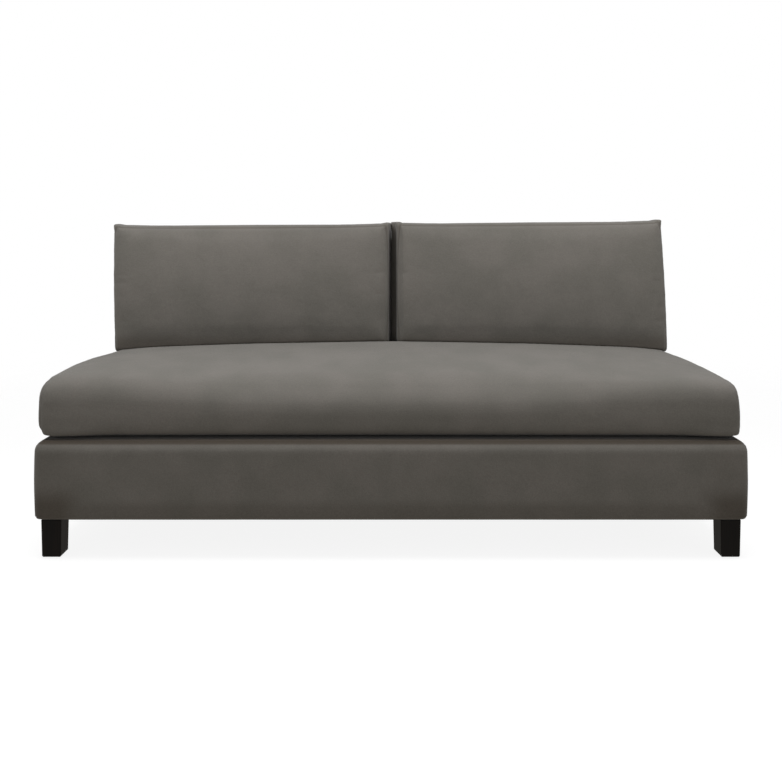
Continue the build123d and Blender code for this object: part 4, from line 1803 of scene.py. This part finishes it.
@dataclass
class CarriedParts:
    """The CAD nodes whose own shape shows: timber, springs, legs, fillings and zips."""

    slots: dict[str, tuple[str, ...]] = field(default_factory=lambda: {
        "frame_wood": ("front_seat_rail", "rear_seat_rail", "left_end_rail", "right_end_rail",
                       "left_stretcher", "right_stretcher", "corner_blocks", "left_back_post",
                       "right_back_post", "centre_back_post", "back_top_rail", "left_tuck_rail",
                       "right_tuck_rail"),
        "leg_wood": ("front_left_leg", "front_right_leg", "rear_left_leg", "rear_right_leg"),
        "spring_steel": ("seat_springs", "spring_clips", "spring_tie_wires", "leg_bolts",
                         "leg_plates"),
        "felt": ("spring_insulator",),
        "foam": ("deck_pad", "seat_cushion_core", "left_back_core", "right_back_core"),
        "padding": ("front_border_pad", "left_border_pad", "right_border_pad",
                    "inside_back_pad"),
        "deck_fabric": ("deck_cloth",),
        "dust_cloth": ("dust_cover",),
        "webbing": ("back_webbing",),
        "glide_nylon": ("leg_glides",),
        "zip_tape": ("seat_zip", "left_back_zip", "right_back_zip"),
        "zip_metal": ("seat_zip_slider", "left_back_zip_slider", "right_back_zip_slider"),
        "cover_fabric": ("seat_cushion_cover", "left_back_cover", "right_back_cover",
                         "front_border_cover", "left_border_cover", "right_border_cover",
                         "inside_back_cover", "outside_back_cover"),
    })

    def dress(self, dresser: Dresser) -> None:
        """Put a finish on every node.

        Args:
            dresser: what puts the finishes on.
        """
        dresser.dress_nodes({node: slot for slot, nodes in self.slots.items() for node in nodes})


# ---- stage ----


@dataclass
class Stage:
    """A pale floor, soft light from above and all round, and the camera."""

    floor_reach: float = 6.0
    camera_y: float = -2.4231
    camera_z: float = 0.835
    lens: float = 36.09
    drop: float = -0.202
    key_place: tuple[float, float, float] = (0.85, -0.5, 1.9)
    key_aim: tuple[float, float, float] = (0.6, -0.8, 0.3)
    key_size: Span = (0.8, 0.9)
    key_power: float = 15.5
    floor_glow: float = 0.88
    floor_fade: Span = (1.6, 3.6)
    horizon: Span = (0.42, 0.58)
    low_light: Colour = (0.41, 0.385, 0.35)
    high_light: Colour = (0.385, 0.385, 0.385)

    def build(self) -> None:
        """Set the stage."""
        self._floor()
        self._world()
        for side in Side:
            place, aim = ((one[0] * side.value, *one[1:]) for one in (self.key_place, self.key_aim))
            self._softbox(f"{side.word}_key_light", place, aim, self.key_size, self.key_power)
        self._camera()

    def _floor(self) -> None:
        """A plain pale floor that melts into the light round it."""
        bench = Bench.panel("floor", (-self.floor_reach, -self.floor_reach, 0),
                            (self.floor_reach, self.floor_reach, 0))
        bench.modify("SUBSURF", levels=2, render_levels=2, subdivision_type="SIMPLE")
        recipe = Recipe("pale_floor")
        recipe.shine(Roughness=0.9, Specular_IOR_Level=0.1, Emission_Color=WHITE,
                     Emission_Strength=self.floor_glow)
        grain = recipe.speckle(0.3, 2.0)
        recipe.colour(recipe.blend(grain, (0.20, 0.20, 0.20), (0.22, 0.22, 0.22)))
        away = recipe.add("VectorMath", operation="LENGTH")
        recipe.join(recipe.place, away.inputs[0])
        clear = recipe.ramp(away.outputs["Value"], *self.floor_fade)
        mix = recipe.add("MixShader")
        see_through = recipe.add("BsdfTransparent")
        recipe.join(clear, mix.inputs[0])
        recipe.join(recipe.shader.outputs[0], mix.inputs[1])
        recipe.join(see_through.outputs[0], mix.inputs[2])
        recipe.join(mix.outputs[0], recipe.tree.nodes["Material Output"].inputs["Surface"])
        bench.piece.data.materials.append(recipe.material)
        bench.piece.visible_diffuse = False
        bench.piece.visible_glossy = False

    def _world(self) -> None:
        """Even soft light, slightly warmer from below, and plain white to look at."""
        world = bpy.data.worlds.new("studio")
        bpy.context.scene.world = world
        world.use_nodes = True
        layout = Layout(world.node_tree)
        light = layout.tree.nodes["Background"]
        place, split = layout.add("TexCoord"), layout.add("SeparateXYZ")
        ramp, spread = layout.add("ValToRGB"), layout.add("MapRange")
        spread.inputs["From Min"].default_value = -1.0
        layout.join(place.outputs["Generated"], split.inputs["Vector"])
        layout.join(split.outputs["Z"], spread.inputs["Value"])
        layout.join(spread.outputs["Result"], ramp.inputs["Fac"])
        glows = (self.low_light, self.high_light)
        for stop, height, glow in zip(ramp.color_ramp.elements, self.horizon, glows):
            stop.position, stop.color = height, (*glow, 1)
        layout.join(ramp.outputs["Color"], light.inputs["Color"])
        light.inputs["Strength"].default_value = 1.0
        seen, path, mix = (layout.add(kind) for kind in ("Background", "LightPath", "MixShader"))
        seen.inputs["Color"].default_value = WHITE
        seen.inputs["Strength"].default_value = 1.0
        layout.join(path.outputs["Is Camera Ray"], mix.inputs[0])
        layout.join(light.outputs[0], mix.inputs[1])
        layout.join(seen.outputs[0], mix.inputs[2])
        layout.join(mix.outputs[0], layout.tree.nodes["World Output"].inputs["Surface"])

    def _softbox(self, name: str, place: Sequence[float], target: Sequence[float],
                 size: Sequence[float], power: float) -> None:
        """A soft rectangular light.

        Args:
            name: the light's name.
            place: where it stands.
            target: what it points at.
            size: its width and height.
            power: its power in watts.
        """
        lamp = bpy.data.lights.new(name, "AREA")
        lamp.shape = "RECTANGLE"
        lamp.size, lamp.size_y = size
        lamp.energy = power
        stand = bpy.data.objects.new(name, lamp)
        bpy.context.scene.collection.objects.link(stand)
        stand.location = place
        aim = Vector(target) - Vector(place)
        stand.rotation_euler = aim.to_track_quat("-Z", "Y").to_euler()
        stand.visible_camera = False

    def _camera(self) -> None:
        """A level camera in front of the middle of the sofa."""
        lens = bpy.data.cameras.new("camera")
        lens.lens = self.lens
        lens.sensor_width = 36.0
        lens.shift_y = self.drop
        lens.dof.use_dof = False
        camera = bpy.data.objects.new("camera", lens)
        bpy.context.scene.collection.objects.link(camera)
        camera.location = (0.0, self.camera_y, self.camera_z)
        camera.rotation_euler = (math.pi / 2, 0, 0)
        bpy.context.scene.camera = camera
        bpy.context.scene.view_settings.view_transform = "Standard"


# ---- the sofa ----


def main() -> None:
    """Build the sofa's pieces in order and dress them."""
    logging.basicConfig(level=logging.INFO, format="%(name)s: %(message)s")
    dresser = Dresser()
    dresser.mix()
    Stage().build()
    LOG.info("stage is set")
    CarriedParts().dress(dresser)
    seat = SeatCushion()
    seat.build()
    LOG.info("seat cushion: %d faces", len(seat.piece.data.polygons))
    backs = [BackCushion(Side.LEFT, flare=18 * MM, lifts=(3 * MM, -2 * MM)),
             BackCushion(Side.RIGHT, flare=-6 * MM, lifts=(5 * MM, 13 * MM), hollow=15 * MM,
                         ear=17 * MM)]
    for cushion in backs:
        cushion.build(seat.piece)
        LOG.info("%s back cushion: %d faces", cushion.side.word, len(cushion.piece.data.polygons))
    base = Base()
    base.build()
    LOG.info("base border: %d pieces", len(base.pieces))
    back_shell = BackShell()
    back_shell.build()
    LOG.info("back covers are on")
    underside = Underside()
    underside.build()
    LOG.info("deck and dust cloths are on")
    for part in (seat, *backs, base, back_shell, underside):
        part.dress(dresser)


if __name__ == "__main__":
    main()
